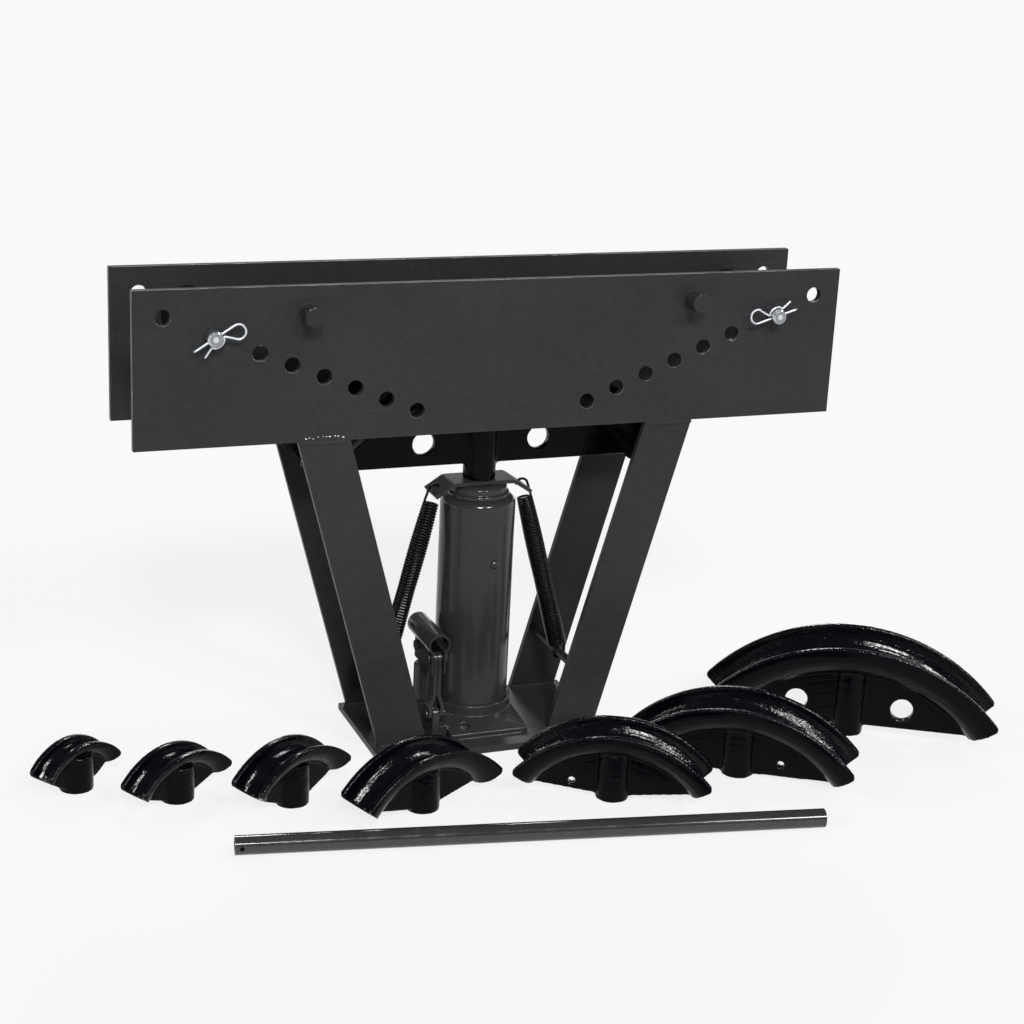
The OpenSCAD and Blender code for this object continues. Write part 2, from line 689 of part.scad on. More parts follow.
// A strap across the ram's shoulder, with bent ends that the springs hook through
module spring_bracket() {
    h = strap_t / 2;
    bend_run = strap_bend_r * tan(strap_bend / 2);
    bend_x = strap_flat - bend_run;
    color(frame_grey) difference() {
        union() {
            translate([-bend_x, -strap_w / 2, bracket_z]) cube([2 * bend_x, strap_w, strap_t]);
            for (side = [-1, 1]) {
                intersection() {
                    translate([side * bend_x, 0, strap_mid_z - strap_bend_r]) rotate([90, 0, 0])
                        difference() {
                            cylinder(r = strap_bend_r + h, h = strap_w, center = true);
                            cylinder(r = strap_bend_r - h, h = strap_w + 2, center = true);
                        }
                    translate([side * bend_x, 0, strap_mid_z - strap_bend_r])
                        rotate([90, 0, side < 0 ? 180 : 0]) linear_extrude(strap_w + 2, center = true)
                            polygon([[0, 0], [0, 3 * strap_bend_r],
                                3 * strap_bend_r * [sin(strap_bend), cos(strap_bend)]]);
                }
                translate([side * strap_flat, 0, strap_mid_z]) rotate([0, side * strap_bend, 0])
                    translate([side < 0 ? -strap_tab : bend_run, -strap_w / 2, -h])
                        cube([strap_tab - bend_run, strap_w, strap_t]);
            }
        }
        translate([0, 0, bracket_z - 1]) cylinder(d = spigot_d + 2 * run_gap, h = strap_t + 2);
        for (side = [-1, 1])
            translate([side * (strap_flat + strap_hole_at * tab_dir[0]), 0,
                strap_mid_z + strap_hole_at * tab_dir[1]])
                rotate([0, side * strap_bend, 0])
                    cylinder(d = strap_hole_d, h = strap_t + 4, center = true);
    }
}

// Return springs: a hook round the rod, open coils, and a hook through the bracket, as one wire.
// A point is given by its run along the spring's axis, its offset outwards and its offset in depth.
// The coils grow slightly narrower from the rod to the bracket.
function spring_path(run) = let (
        low_r = (spring_od - spring_wire_d) / 2,
        top_r = (spring_top_od - spring_wire_d) / 2,
        coil_run = run - rod_hook_run - bracket_hook_run,
        last = coil_steps * spring_coils,
        rod_hook = [for (a = [320 : -23 : 90]) rod_hook_r * [cos(a), sin(a), 0]],
        coils = [for (k = [0 : last])
            let (r = low_r + (top_r - low_r) * k / last, turn = 360 * k / coil_steps)
            [rod_hook_run + coil_run * k / last, r * cos(turn), r * sin(turn)]],
        bracket_hook = [for (a = [90 : -20.5 : -75])
            [run, 0, 0] + bracket_hook_r * [cos(a), sin(a), 0]])
    concat(rod_hook, [[rod_hook_run / 2, (rod_hook_r + low_r) / 2, 0]], coils,
        [[run - bracket_hook_run / 2, (bracket_hook_r + top_r) / 2, 0]], bracket_hook);

function spring_points(low, high) = let (
        up = unit(high - low),
        out = unit(cross([0, 1, 0], up)),
        deep = cross(up, out))
    [for (q = spring_path(norm(high - low))) low + q[0] * up + q[1] * out + q[2] * deep];

// Least gap between stretches of the wire that lie more than half a coil apart along it
function least_gap(p) = min([for (i = [0 : len(p) - 1], k = [i + coil_steps / 2 + 1 : 1 : len(p) - 1])
    norm(p[i] - p[k])]) - spring_wire_d;

module return_spring(low_y) {
    points = spring_points([rod_x, low_y, rod_z], [hook_mid[0], 0, hook_mid[1]]);
    echo(spring_least_gap = least_gap(points));
    swept_wire(points, spring_wire_d, [0, 1, 0]);
}
module left_return_spring() { color(rubber_black) mirror([1, 0, 0]) return_spring(left_hook_y); }
module right_return_spring() { color(rubber_black) return_spring(right_hook_y); }

// Pump

// A folded socket: a tube for the handle over two flanges that hold the link's and plunger's pins
module handle_socket() {
    front = link_cy - socket_front;
    flange_skirt = 8;
    flange_h = socket_lift + eye_r + flange_skirt;
    drop = socket_z - flange_h;
    flange_x = flange_in + socket_wall;
    color(frame_grey) difference() {
        union() {
            translate([pump_cx, front, socket_z]) rotate([-90, 0, 0])
                cylinder(r = socket_r, h = socket_len);
            for (side = [-1, 1])
                translate([pump_cx + (side < 0 ? -flange_x : flange_in), front + 1, drop])
                    cube([socket_wall, lever_arm + socket_front + eye_r - 1, flange_h]);
        }
        translate([pump_cx, front - 1, socket_z]) rotate([-90, 0, 0])
            cylinder(d = socket_bore, h = socket_len + 2);
        translate([pump_cx - flange_in, front - 1, drop - 1])
            cube([2 * flange_in, socket_len + 2, flange_h]);
        translate([pump_cx, link_cy, lever_z]) rotate([0, 90, 0])
            cylinder(d = pump_pin_d + 2 * run_gap, h = 4 * flange_x, center = true);
        for (shift = [-plunger_slot_half, plunger_slot_half])
            translate([pump_cx, barrel_cy + shift, lever_z]) rotate([0, 90, 0])
                cylinder(r = plunger_slot_r, h = 4 * flange_x, center = true);
        translate([pump_cx - 2 * flange_x, barrel_cy - plunger_slot_half, lever_z - plunger_slot_r])
            cube([4 * flange_x, 2 * plunger_slot_half, 2 * plunger_slot_r]);
    }
}

// Two straps that lie close at the socket and spread to straddle the base's lug
module pump_link() {
    near = 0.4;
    wide = lug_w / 2 + face_gap;
    low = lug_z - link_w / 2;
    high = lever_z + link_w / 2;
    spread = lug_z + 11;
    close = spread + 13;
    color(frame_grey) for (side = [-1, 1]) difference() {
        intersection() {
            translate([pump_cx, link_cy + link_w / 2, 0]) rotate([90, 0, 0]) linear_extrude(link_w)
                polygon([for (q = [[wide, low], [wide + link_t, low], [wide + link_t, spread],
                    [near + link_t, close], [near + link_t, high], [near, high], [near, close],
                    [wide, spread]]) [side * q[0], q[1]]]);
            translate([pump_cx - 20, link_cy, 0]) rotate([90, 0, 90]) linear_extrude(40) {
                translate([0, lug_z]) circle(d = link_w);
                translate([0, lever_z]) circle(d = link_w);
                translate([-link_w / 2, lug_z]) square([link_w, link_len]);
            }
        }
        for (z = [lug_z, lever_z])
            translate([pump_cx, link_cy, z]) rotate([0, 90, 0])
                cylinder(d = pump_pin_d + 2 * run_gap, h = 60, center = true);
    }
}

// A headed pin across the pump, as long as what it holds together
module pump_pin(y, z, half) {
    head = 2.5;
    translate([pump_cx - half, y, z]) rotate([0, 90, 0]) cylinder(d = pump_pin_d, h = 2 * half);
    for (side = [-1, 1])
        translate([pump_cx + (side < 0 ? -half - head : half), y, z]) rotate([0, 90, 0])
            cylinder(d = pump_pin_d + 4, h = head);
}
module link_foot_pin() {
    color(bright_steel) pump_pin(link_cy, lug_z, lug_w / 2 + face_gap + link_t + face_gap);
}
module link_head_pin() {
    color(bright_steel) pump_pin(link_cy, lever_z, flange_in + socket_wall + face_gap);
}

// The plunger: a ground rod with an eye between the socket's flanges
module pump_plunger() {
    color(bright_steel) difference() {
        union() {
            translate([pump_cx, barrel_cy, plunger_foot])
                cylinder(d = plunger_d, h = lever_z - plunger_foot);
            translate([pump_cx - plunger_eye_w / 2, barrel_cy, lever_z]) rotate([0, 90, 0])
                cylinder(r = eye_r, h = plunger_eye_w);
        }
        translate([pump_cx, barrel_cy, lever_z]) rotate([0, 90, 0])
            cylinder(d = pump_pin_d + 2 * run_gap, h = 40, center = true);
        translate([pump_cx, barrel_cy, seal_z]) difference() {
            cylinder(d = plunger_d + 2, h = seal_h);
            translate([0, 0, -1]) cylinder(d = seal_bore, h = seal_h + 2);
        }
    }
}
module plunger_seal() {
    color(rubber_black) translate([pump_cx, barrel_cy, seal_z]) difference() {
        cylinder(d = plunger_d, h = seal_h);
        translate([0, 0, -1]) cylinder(d = seal_bore + 2 * run_gap, h = seal_h + 2);
    }
}
module plunger_pin() {
    color(bright_steel) pump_pin(barrel_cy, lever_z, flange_in + socket_wall + face_gap);
}

// Dies

// What the rounding takes off the corner of a rim of radius r, at the end that lies on the X axis.
// The round meets the end and the lip at a slight angle, since its middle lies a little outward.
module rim_corner(r) {
    inset = 0.97 * die_end_round;
    middle = [sqrt(pow(r - inset, 2) - pow(inset, 2)), inset];
    beyond = 2;
    difference() {
        polygon([middle, [middle[0], -beyond], [r + beyond, -beyond], middle * (r + beyond) / (r - inset)]);
        translate(middle) circle(r = die_end_round);
    }
}

// One cast die, standing on its hub's foot at the origin, with its length along X.
// A groove for half of the pipe runs round its rim, and a web ties the rim to the hub.
// The holes in the web lie at the given places along it, all at one height.
module bending_die(i, hub, hole_size = 0, hole_places = [], hole_z = 0) {
    w = die_w(i);
    r = rim_r[i];
    half = die_half_angle[i];
    groove_r = pipe_od[i] / 2;
    arc_z = end_rise[i] + (w / 2 - r) * cos(half);
    web_r = r - groove_r - groove_wall / 2;
    crown = arc_z + web_r;
    web_z = web_rise[i] - arc_z;
    tip_z = web_z + web_slope[i] * (r - hub / 2);
    reach = r * [sin(half - web_inset), cos(half - web_inset)];
    difference() {
        union() {
            translate([0, 0, arc_z]) rotate([90, 0, 0]) rotate([0, 0, 90 - half])
                rotate_extrude(angle = 2 * half, $fn = 128) intersection() {
                    translate([r, 0]) circle(d = w);
                    translate([r - w, -w]) square([w, 2 * w]);
                }
            translate([0, web_t / 2, arc_z]) rotate([90, 0, 0]) linear_extrude(web_t) intersection() {
                circle(r = web_r, $fn = 128);
                polygon([[-r, tip_z], [-hub / 2, web_z], [hub / 2, web_z], [r, tip_z],
                    [r, tip_z + 2 * r], [-r, tip_z + 2 * r]]);
                polygon([[0, 0], reach, [reach[0], 2 * r], [-reach[0], 2 * r], [-reach[0], reach[1]]]);
            }
            cylinder(d = hub, h = crown);
        }
        translate([0, 0, arc_z]) rotate([90, 0, 0]) rotate_extrude($fn = 128)
            translate([r, 0]) circle(r = groove_r);
        for (turn = [0, 180])
            translate([0, 0, arc_z]) rotate([90, 0, turn]) rotate([0, 0, 90 - half])
                linear_extrude(w + 2, center = true) rim_corner(r);
        translate([0, 0, -1]) cylinder(d = spigot_d + 2 * hub_gap, h = min(spigot_len + 5, crown - 5) + 1);
        for (at = hole_places)
            translate([at, 0, hole_z]) rotate([90, 0, 0])
                cylinder(d = hole_size, h = 2 * web_t, center = true);
    }
}

module loose_die(i, hole_size = 0, hole_places = [], hole_z = 0) {
    color(die_black) translate([die_x[i], die_y[i], 0]) rotate([0, 0, die_yaw[i]])
        bending_die(i, hub_d, hole_size, hole_places, hole_z);
}
module half_inch_die() { loose_die(0); }
module three_quarter_inch_die() { loose_die(1); }
module one_inch_die() { loose_die(2); }
module one_and_quarter_inch_die() { loose_die(3); }
module one_and_half_inch_die() { loose_die(4, small_web_hole_d, [-44], web_rise[4] + 12); }
module two_inch_die() { loose_die(5, small_web_hole_d, [48], web_rise[5] + 15.5); }
module two_and_half_inch_die() { loose_die(6, web_hole_d, [-61, 61], web_rise[6] + 23.5); }

// The largest die, on the ram's spigot
module three_inch_die() {
    color(die_black) translate([0, 0, die_z])
        bending_die(big, big_hub_d, web_hole_d, [-68, 68], web_rise[big] + 26);
}

// A plain tube that fits the socket
module pump_handle() {
    color(frame_grey) translate([handle_x, handle_y, handle_d / 2]) rotate([0, 0, handle_yaw])
        difference() {
            rotate([0, 90, 0]) cylinder(d = handle_d, h = handle_len);
            translate([-1, 0, 0]) rotate([0, 90, 0])
                cylinder(d = handle_d - 2 * handle_wall, h = handle_len + 2);
            translate([handle_hole_inset, 0, 0]) rotate([90, 0, 0])
                cylinder(d = handle_hole_d, h = 2 * handle_d, center = true);
        }
}

base_plate();
front_left_leg();
front_right_leg();
rear_left_leg();
rear_right_leg();
front_side_plate();
rear_side_plate();
plate_pegs();
left_spring_rod();
right_spring_rod();
jack_base();
base_plug();
check_balls();
pressure_cylinder();
reservoir_tank();
tank_gasket();
tank_nut();
ram_wiper();
filler_plug();
pump_barrel();
release_valve();
ram_rod();
ram_piston();
piston_cup();
spring_bracket();
left_return_spring();
right_return_spring();
handle_socket();
pump_link();
link_foot_pin();
link_head_pin();
pump_plunger();
plunger_seal();
plunger_pin();
left_roller();
right_roller();
left_roller_pin();
right_roller_pin();
left_pin_clip();
right_pin_clip();
half_inch_die();
three_quarter_inch_die();
one_inch_die();
one_and_quarter_inch_die();
one_and_half_inch_die();
two_inch_die();
two_and_half_inch_die();
three_inch_die();
pump_handle();
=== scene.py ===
# Looks of the hydraulic pipe bender: finishes for its solids, its welds, springs and clips, and the studio.
# Metres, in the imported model's frame: +Z up, the jack's axis at x = y = 0, the operator's side at -Y.
import math
import random

import bmesh
import bpy
from mathutils import Matrix, Vector


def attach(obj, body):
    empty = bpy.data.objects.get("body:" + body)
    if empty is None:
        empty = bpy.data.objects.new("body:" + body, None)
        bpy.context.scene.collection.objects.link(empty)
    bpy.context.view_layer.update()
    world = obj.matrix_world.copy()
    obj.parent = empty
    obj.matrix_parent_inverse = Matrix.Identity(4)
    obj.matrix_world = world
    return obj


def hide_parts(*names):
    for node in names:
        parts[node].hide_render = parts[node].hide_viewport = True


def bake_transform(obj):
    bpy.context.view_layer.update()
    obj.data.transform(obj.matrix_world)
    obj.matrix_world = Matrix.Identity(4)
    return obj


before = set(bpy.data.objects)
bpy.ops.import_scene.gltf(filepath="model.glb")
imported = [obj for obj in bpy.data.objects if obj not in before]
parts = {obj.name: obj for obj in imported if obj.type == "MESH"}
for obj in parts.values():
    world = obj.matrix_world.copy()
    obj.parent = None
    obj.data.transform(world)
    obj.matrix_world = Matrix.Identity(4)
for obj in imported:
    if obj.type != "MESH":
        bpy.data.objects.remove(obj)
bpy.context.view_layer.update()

# Welded frame: a base plate, four leaning legs and two long side plates, all cut from 8 mm steel plate.
# It is sprayed charcoal after welding. Handling rubs the paint thin on the cut edges, where steel shows; that
# steel is painted pale as a highlight, most on edges that face up.
SIDE_PLATES = ("front_side_plate", "rear_side_plate")
BASE_AND_LEGS = ("base_plate", "front_left_leg", "front_right_leg", "rear_left_leg", "rear_right_leg")
SIDE_PLATE_ROUND, LEG_ROUND = 0.0014, 0.0007
CHARCOAL = (0.0330, 0.0337, 0.0348, 1.0)
CHARCOAL_SPECK = (0.004, 0.004, 0.0045, 1.0)
CHARCOAL_SCUFF = (0.062, 0.063, 0.066, 1.0)
# Rubbed-through steel, painted pale to stand in for the highlight on edges
BARE_STEEL_AND_HIGHLIGHT = (0.82, 0.84, 0.89, 1.0)
BARE_METALLIC = 0.35
CLOUD_SIZE, MOTTLE_SIZE, PEEL_SIZE = 0.11, 0.011, 0.0026
SPECKS_PER_METRE, SPECK_PATCH = 95.0, 0.05
SCUFF_WIDTH, SCUFF_PATCH = 0.0022, 0.07
SCUFF_DIRECTION = (0.035, 1.0, 1.0)
LONG_RUB, FINE_RUB = 0.03, 0.0025
PEEL_DEPTH = 0.00012


def add_node(tree, kind, sockets=None, **settings):
    """A shader node. A socket takes a value, or the output of another node to be linked to."""
    made = tree.nodes.new("ShaderNode" + kind)
    for name, value in settings.items():
        setattr(made, name, value)
    for name, value in (sockets or {}).items():
        if isinstance(value, bpy.types.NodeSocket):
            tree.links.new(value, made.inputs[name])
        else:
            made.inputs[name].default_value = value
    return made


def surface_point(tree):
    """The place on the piece, in metres, which every pattern below is drawn in."""
    return add_node(tree, "TexCoord").outputs["Object"]


def noise(tree, where, size, detail=2.0, rough=0.5):
    """Soft noise from 0 to 1, whose patches are about size metres across."""
    sockets = {"Vector": where, "Scale": 1 / size, "Detail": detail, "Roughness": rough}
    return add_node(tree, "TexNoise", sockets).outputs["Fac"]


def remap(tree, value, low, high, to_low=0.0, to_high=1.0):
    """The value's range from low to high, moved to another range and held inside it."""
    sockets = {"Value": value, "From Min": low, "From Max": high, "To Min": to_low, "To Max": to_high}
    return add_node(tree, "MapRange", sockets).outputs["Result"]


def calculate(tree, operation, first, second):
    """One sum or product of two values."""
    return add_node(tree, "Math", {0: first, 1: second}, operation=operation).outputs["Value"]


def mix_colour(tree, share, first, second):
    """The first colour, with a share of the second over it."""
    sockets = {0: share, 6: first, 7: second}
    return add_node(tree, "Mix", sockets, data_type="RGBA").outputs[2]


def stretched(tree, where, scale):
    """The place on the piece, with each axis multiplied by its own number."""
    return add_node(tree, "VectorMath", {0: where, 1: scale}, operation="MULTIPLY").outputs["Vector"]


def facing_up(tree):
    """How far the surface faces up, from -1 underneath to 1 on top."""
    facing = add_node(tree, "NewGeometry").outputs["Normal"]
    return add_node(tree, "SeparateXYZ", {"Vector": facing}).outputs["Z"]


def effect_group(name, inputs, outputs):
    """An empty shader node group with named sockets; inputs come with their usual values."""
    group = bpy.data.node_groups.new(name, "ShaderNodeTree")
    for label, value in inputs.items():
        kind = "NodeSocketFloat" if isinstance(value, float) else "NodeSocketColor"
        group.interface.new_socket(label, in_out="INPUT", socket_type=kind).default_value = value
    for label in outputs:
        kind = "NodeSocketColor" if label == "Colour" else "NodeSocketFloat"
        group.interface.new_socket(label, in_out="OUTPUT", socket_type=kind)
    given = group.nodes.new("NodeGroupInput").outputs
    result = group.nodes.new("NodeGroupOutput").inputs
    return group, given, result


def use_group(tree, group, sockets):
    """A placed node group with its own values."""
    return add_node(tree, "Group", sockets, node_tree=group).outputs


def new_finish(name, **constants):
    """A material with one Principled shader, whose named sockets hold the given numbers."""
    material = bpy.data.materials.new(name)
    material.use_nodes = True
    tree = material.node_tree
    tree.nodes.clear()
    shader = add_node(tree, "BsdfPrincipled")
    output = add_node(tree, "OutputMaterial")
    tree.links.new(shader.outputs["BSDF"], output.inputs["Surface"])
    for label, value in constants.items():
        shader.inputs[label].default_value = value
    return material, tree, shader.inputs


def link_bump(tree, shader, height, strength, depth):
    """A height pattern on the shader's normal, and its coat's; depth is the pattern's height in metres."""
    sockets = {"Height": height, "Strength": strength, "Distance": depth}
    bump = add_node(tree, "Bump", sockets)
    tree.links.new(bump.outputs["Normal"], shader["Normal"])
    if shader["Coat Weight"].is_linked:
        tree.links.new(bump.outputs["Normal"], shader["Coat Normal"])


# Paint film: broad clouding, dark dust specks, faint handling scuffs and an orange-peel surface
PAINT_FILM, given, result = effect_group(
    "paint_film",
    {"Tone": CHARCOAL, "Speck": CHARCOAL_SPECK, "Scuff": CHARCOAL_SCUFF, "Dullness": 0.4, "Scuffing": 0.5},
    ("Colour", "Roughness", "Height"))
tree = PAINT_FILM
where = surface_point(tree)
clouding = noise(tree, where, CLOUD_SIZE, detail=3.0, rough=0.55)
mottle = noise(tree, where, MOTTLE_SIZE, detail=3.0, rough=0.6)
peel = noise(tree, where, PEEL_SIZE, detail=1.0, rough=0.4)
speck_cells = add_node(tree, "TexVoronoi", {"Vector": where, "Scale": SPECKS_PER_METRE}).outputs
speck_gate = remap(tree, noise(tree, where, SPECK_PATCH, detail=1.0), 0.56, 0.62)
speck_dot = remap(tree, speck_cells["Distance"], 0.05, 0.09, 1.0, 0.0)
specks = calculate(tree, "MULTIPLY", speck_dot, speck_gate)
scuff_lines = noise(tree, stretched(tree, where, SCUFF_DIRECTION), SCUFF_WIDTH, detail=2.0, rough=0.6)
scuff_patch = remap(tree, noise(tree, where, SCUFF_PATCH), 0.52, 0.68)
scuffs = calculate(tree, "MULTIPLY", remap(tree, scuff_lines, 0.62, 0.7), scuff_patch)
scuffs = calculate(tree, "MULTIPLY", scuffs, given["Scuffing"])
shade = remap(tree, calculate(tree, "ADD", clouding, mottle), 0.7, 1.3, 0.86, 1.14)
toned = add_node(tree, "HueSaturation", {"Value": shade, "Color": given["Tone"]}).outputs["Color"]
toned = mix_colour(tree, specks, toned, given["Speck"])
toned = mix_colour(tree, scuffs, toned, given["Scuff"])
tree.links.new(toned, result["Colour"])
dull_spots = remap(tree, mottle, 0.3, 0.7, -0.05, 0.06)
tree.links.new(calculate(tree, "ADD", given["Dullness"], dull_spots), result["Roughness"])
tree.links.new(calculate(tree, "SUBTRACT", peel, specks), result["Height"])

# Rubbed edge and highlight: where handling has taken the paint off a corner, in broken patches, pale as a
# painted highlight and most where it faces up
RUBBED_EDGE_AND_HIGHLIGHT, given, result = effect_group("rubbed_edge_and_highlight", {"Bareness and highlight": 0.5}, ("Mask",))
tree = RUBBED_EDGE_AND_HIGHLIGHT
where = surface_point(tree)
long_rubs = noise(tree, where, LONG_RUB, detail=4.0, rough=0.65)
fine_rubs = noise(tree, where, FINE_RUB, detail=2.0, rough=0.6)
rub_and_highlight = calculate(tree, "ADD", long_rubs, remap(tree, fine_rubs, 0.0, 1.0, -0.12, 0.12))
rub_and_highlight = calculate(tree, "ADD", rub_and_highlight, given["Bareness and highlight"])
# Painted highlight: more of the pale steel where the edge faces up
rub_and_highlight = calculate(tree, "ADD", rub_and_highlight, remap(tree, facing_up(tree), -0.3, 0.6, -0.30, 0.0))
tree.links.new(remap(tree, rub_and_highlight, 0.98, 1.06), result["Mask"])


def paint_finish(name, dullness, scuffing, peel_depth=PEEL_DEPTH, shine=0.12, bare_and_highlight=None):
    """Charcoal paint. Given a bareness, patches of it are rubbed through to pale steel that is also a painted
    highlight, as on an edge.
    """
    material, tree, shader = new_finish(name, **{"Specular IOR Level": shine})
    film = use_group(tree, PAINT_FILM, {"Dullness": dullness, "Scuffing": scuffing})
    colour, rough = film["Colour"], film["Roughness"]
    if bare_and_highlight is not None:
        bare_and_highlight_mask = use_group(tree, RUBBED_EDGE_AND_HIGHLIGHT, {"Bareness and highlight": bare_and_highlight})["Mask"]
        # The rubbed patches get the pale steel, which also paints the edge's highlight
        colour = mix_colour(tree, bare_and_highlight_mask, colour, BARE_STEEL_AND_HIGHLIGHT)
        tree.links.new(calculate(tree, "MULTIPLY", bare_and_highlight_mask, BARE_METALLIC), shader["Metallic"])
    tree.links.new(colour, shader["Base Color"])
    tree.links.new(rough, shader["Roughness"])
    link_bump(tree, shader, film["Height"], strength=0.35, depth=peel_depth)
    return material


FRAME_PAINT = paint_finish("frame_paint", dullness=0.38, scuffing=0.35)
PLATE_EDGE = paint_finish("plate_paint_edge", dullness=0.36, scuffing=0.8, bare_and_highlight=0.62)
BAR_EDGE = paint_finish("bar_paint_edge", dullness=0.36, scuffing=0.8, bare_and_highlight=0.36)


def coated_part(name, finish):
    """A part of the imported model, with one finish all over."""
    part = parts[name]
    part.data.materials.clear()
    part.data.materials.append(finish)
    return part


def join_faces(part):
    """Joins the part's faces at their shared corners, so that later steps see whole edges."""
    weld = part.modifiers.new("joined_faces", "WELD")
    weld.merge_threshold = 0.00001


def broken_edges(name, width, finish, edge_finish=None):
    """The finish on a part, with its corners broken by a small round, in a finish of its own if given."""
    part = coated_part(name, finish)
    join_faces(part)
    flats = part.modifiers.new("whole_flats", "DECIMATE")
    flats.decimate_type = "DISSOLVE"
    flats.angle_limit = math.radians(0.5)
    bevel = part.modifiers.new("broken_edges", "BEVEL")
    bevel.width = width
    bevel.segments = 2
    bevel.limit_method = "ANGLE"
    bevel.angle_limit = math.radians(38)
    if edge_finish is not None:
        part.data.materials.append(edge_finish)
        bevel.material = 1
    shading = part.modifiers.new("even_shading", "WEIGHTED_NORMAL")
    shading.weight = 60


for name in BASE_AND_LEGS:
    broken_edges(name, LEG_ROUND, FRAME_PAINT, BAR_EDGE)
for name in SIDE_PLATES:
    broken_edges(name, SIDE_PLATE_ROUND, FRAME_PAINT, PLATE_EDGE)

# Welds of the frame: ripples of filler metal under the paint, along the legs' feet and heads.
# The seams on the outside are ground almost flush.
PLATE_FACE, PLATE_INSIDE = 0.06445, 0.05645
LEG_FOOT_X, LEG_FOOT_Z = (0.0745, 0.1295), 0.008
LEG_HEAD_X, LEG_HEAD_Z = (0.1715, 0.2265), 0.366
FOOT_BEAD = 0.0026
GROUND_BEAD, GROUND_RISE, GROUND_DROP = 0.0026, 0.0009, 0.0022
INNER_BEAD, INNER_RISE = 0.0034, 0.0016
WELD_STEP, WELD_RIPPLE, WELD_END, WELD_BOW, WELD_SIDES = 0.0008, 0.0032, 0.004, 0.0011, 12
WELD_TROUGH, WELD_CREST, WELD_UNEVEN, WELD_TIP = 0.88, 0.16, 0.03, 0.35


def closed_tube(mesh, rings):
    """Faces between rings of points, with both ends closed."""
    made = [[mesh.verts.new(point) for point in ring] for ring in rings]
    sides = len(made[0])
    for ring, after in zip(made, made[1:]):
        for k in range(sides):
            mesh.faces.new((ring[k], ring[(k + 1) % sides], after[(k + 1) % sides], after[k]))
    mesh.faces.new(made[0][::-1])
    mesh.faces.new(made[-1])


def weld_bead(mesh, start, end, half_width, rise, out, chance):
    """A straight bead with overlapping ripples, on the line from start to end, standing up along out."""
    start, end, out = Vector(start), Vector(end), Vector(out).normalized()
    along = (end - start).normalized()
    across = out.cross(along)
    length = (end - start).length
    count = int(length / WELD_STEP)
    rings = []
    for i in range(count + 1):
        run = length * i / count
        ripple = WELD_TROUGH + WELD_CREST * ((run / WELD_RIPPLE) % 1.0)
        ripple += chance.uniform(-WELD_UNEVEN, WELD_UNEVEN)
        taper = min(1.0, WELD_TIP + run / WELD_END, WELD_TIP + (length - run) / WELD_END)
        size = ripple * taper
        ring = []
        for k in range(WELD_SIDES):
            turn = 2 * math.pi * k / WELD_SIDES
            bow = WELD_BOW * math.cos(turn)
            side = across * (half_width * size * math.sin(turn))
            ring.append(start + along * (run + bow) + side + out * (rise * size * math.cos(turn)))
        rings.append(ring)
    closed_tube(mesh, rings)


def finished_piece(name, mesh, finish):
    """A new piece from built faces, with its finish in a material slot."""
    bmesh.ops.recalc_face_normals(mesh, faces=mesh.faces)
    data = bpy.data.meshes.new(name)
    mesh.to_mesh(data)
    mesh.free()
    for face in data.polygons:
        face.use_smooth = True
    data.materials.append(finish)
    piece = bpy.data.objects.new(name, data)
    bpy.context.scene.collection.objects.link(piece)
    return piece


chance = random.Random(11)
foot_welds = bmesh.new()
head_welds = bmesh.new()
for side in (-1, 1):
    for face in (-1, 1):
        foot = [side * LEG_FOOT_X[0], side * LEG_FOOT_X[1]]
        head = [side * LEG_HEAD_X[0], side * LEG_HEAD_X[1]]
        for y, lean in ((PLATE_FACE, face), (PLATE_INSIDE, -face)):
            weld_bead(foot_welds, (foot[0], face * y, LEG_FOOT_Z), (foot[1], face * y, LEG_FOOT_Z),
                      FOOT_BEAD, FOOT_BEAD, (0, lean, 1), chance)
        weld_bead(head_welds, (head[0], face * PLATE_FACE, LEG_HEAD_Z - GROUND_DROP),
                  (head[1], face * PLATE_FACE, LEG_HEAD_Z - GROUND_DROP),
                  GROUND_BEAD, GROUND_RISE, (0, face, 0), chance)
        weld_bead(head_welds, (head[0], face * PLATE_INSIDE, LEG_HEAD_Z),
                  (head[1], face * PLATE_INSIDE, LEG_HEAD_Z), INNER_BEAD, INNER_RISE, (0, -face, 0), chance)
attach(finished_piece("leg_foot_welds", foot_welds, FRAME_PAINT), "frame")
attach(finished_piece("leg_head_welds", head_welds, FRAME_PAINT), "frame")

# Pegs and spring rods: round bar, cut off square. The pegs are welded to the front plate and the rods
# run between the front and rear legs, for the springs' lower hooks. All are sprayed with the frame.
BAR_ROUND = 0.0012
PEG_X, PEG_Z, PEG_R, PEG_BEAD = 0.218, 0.503, 0.0105, 0.0013
ROD_X, ROD_Z, ROD_R, ROD_BEAD = 0.1045, 0.078, 0.005, 0.0014
RING_RIPPLE, RING_SIDES = 0.003, 10
RING_TROUGH, RING_CREST, RING_UNEVEN = 0.85, 0.2, 0.04


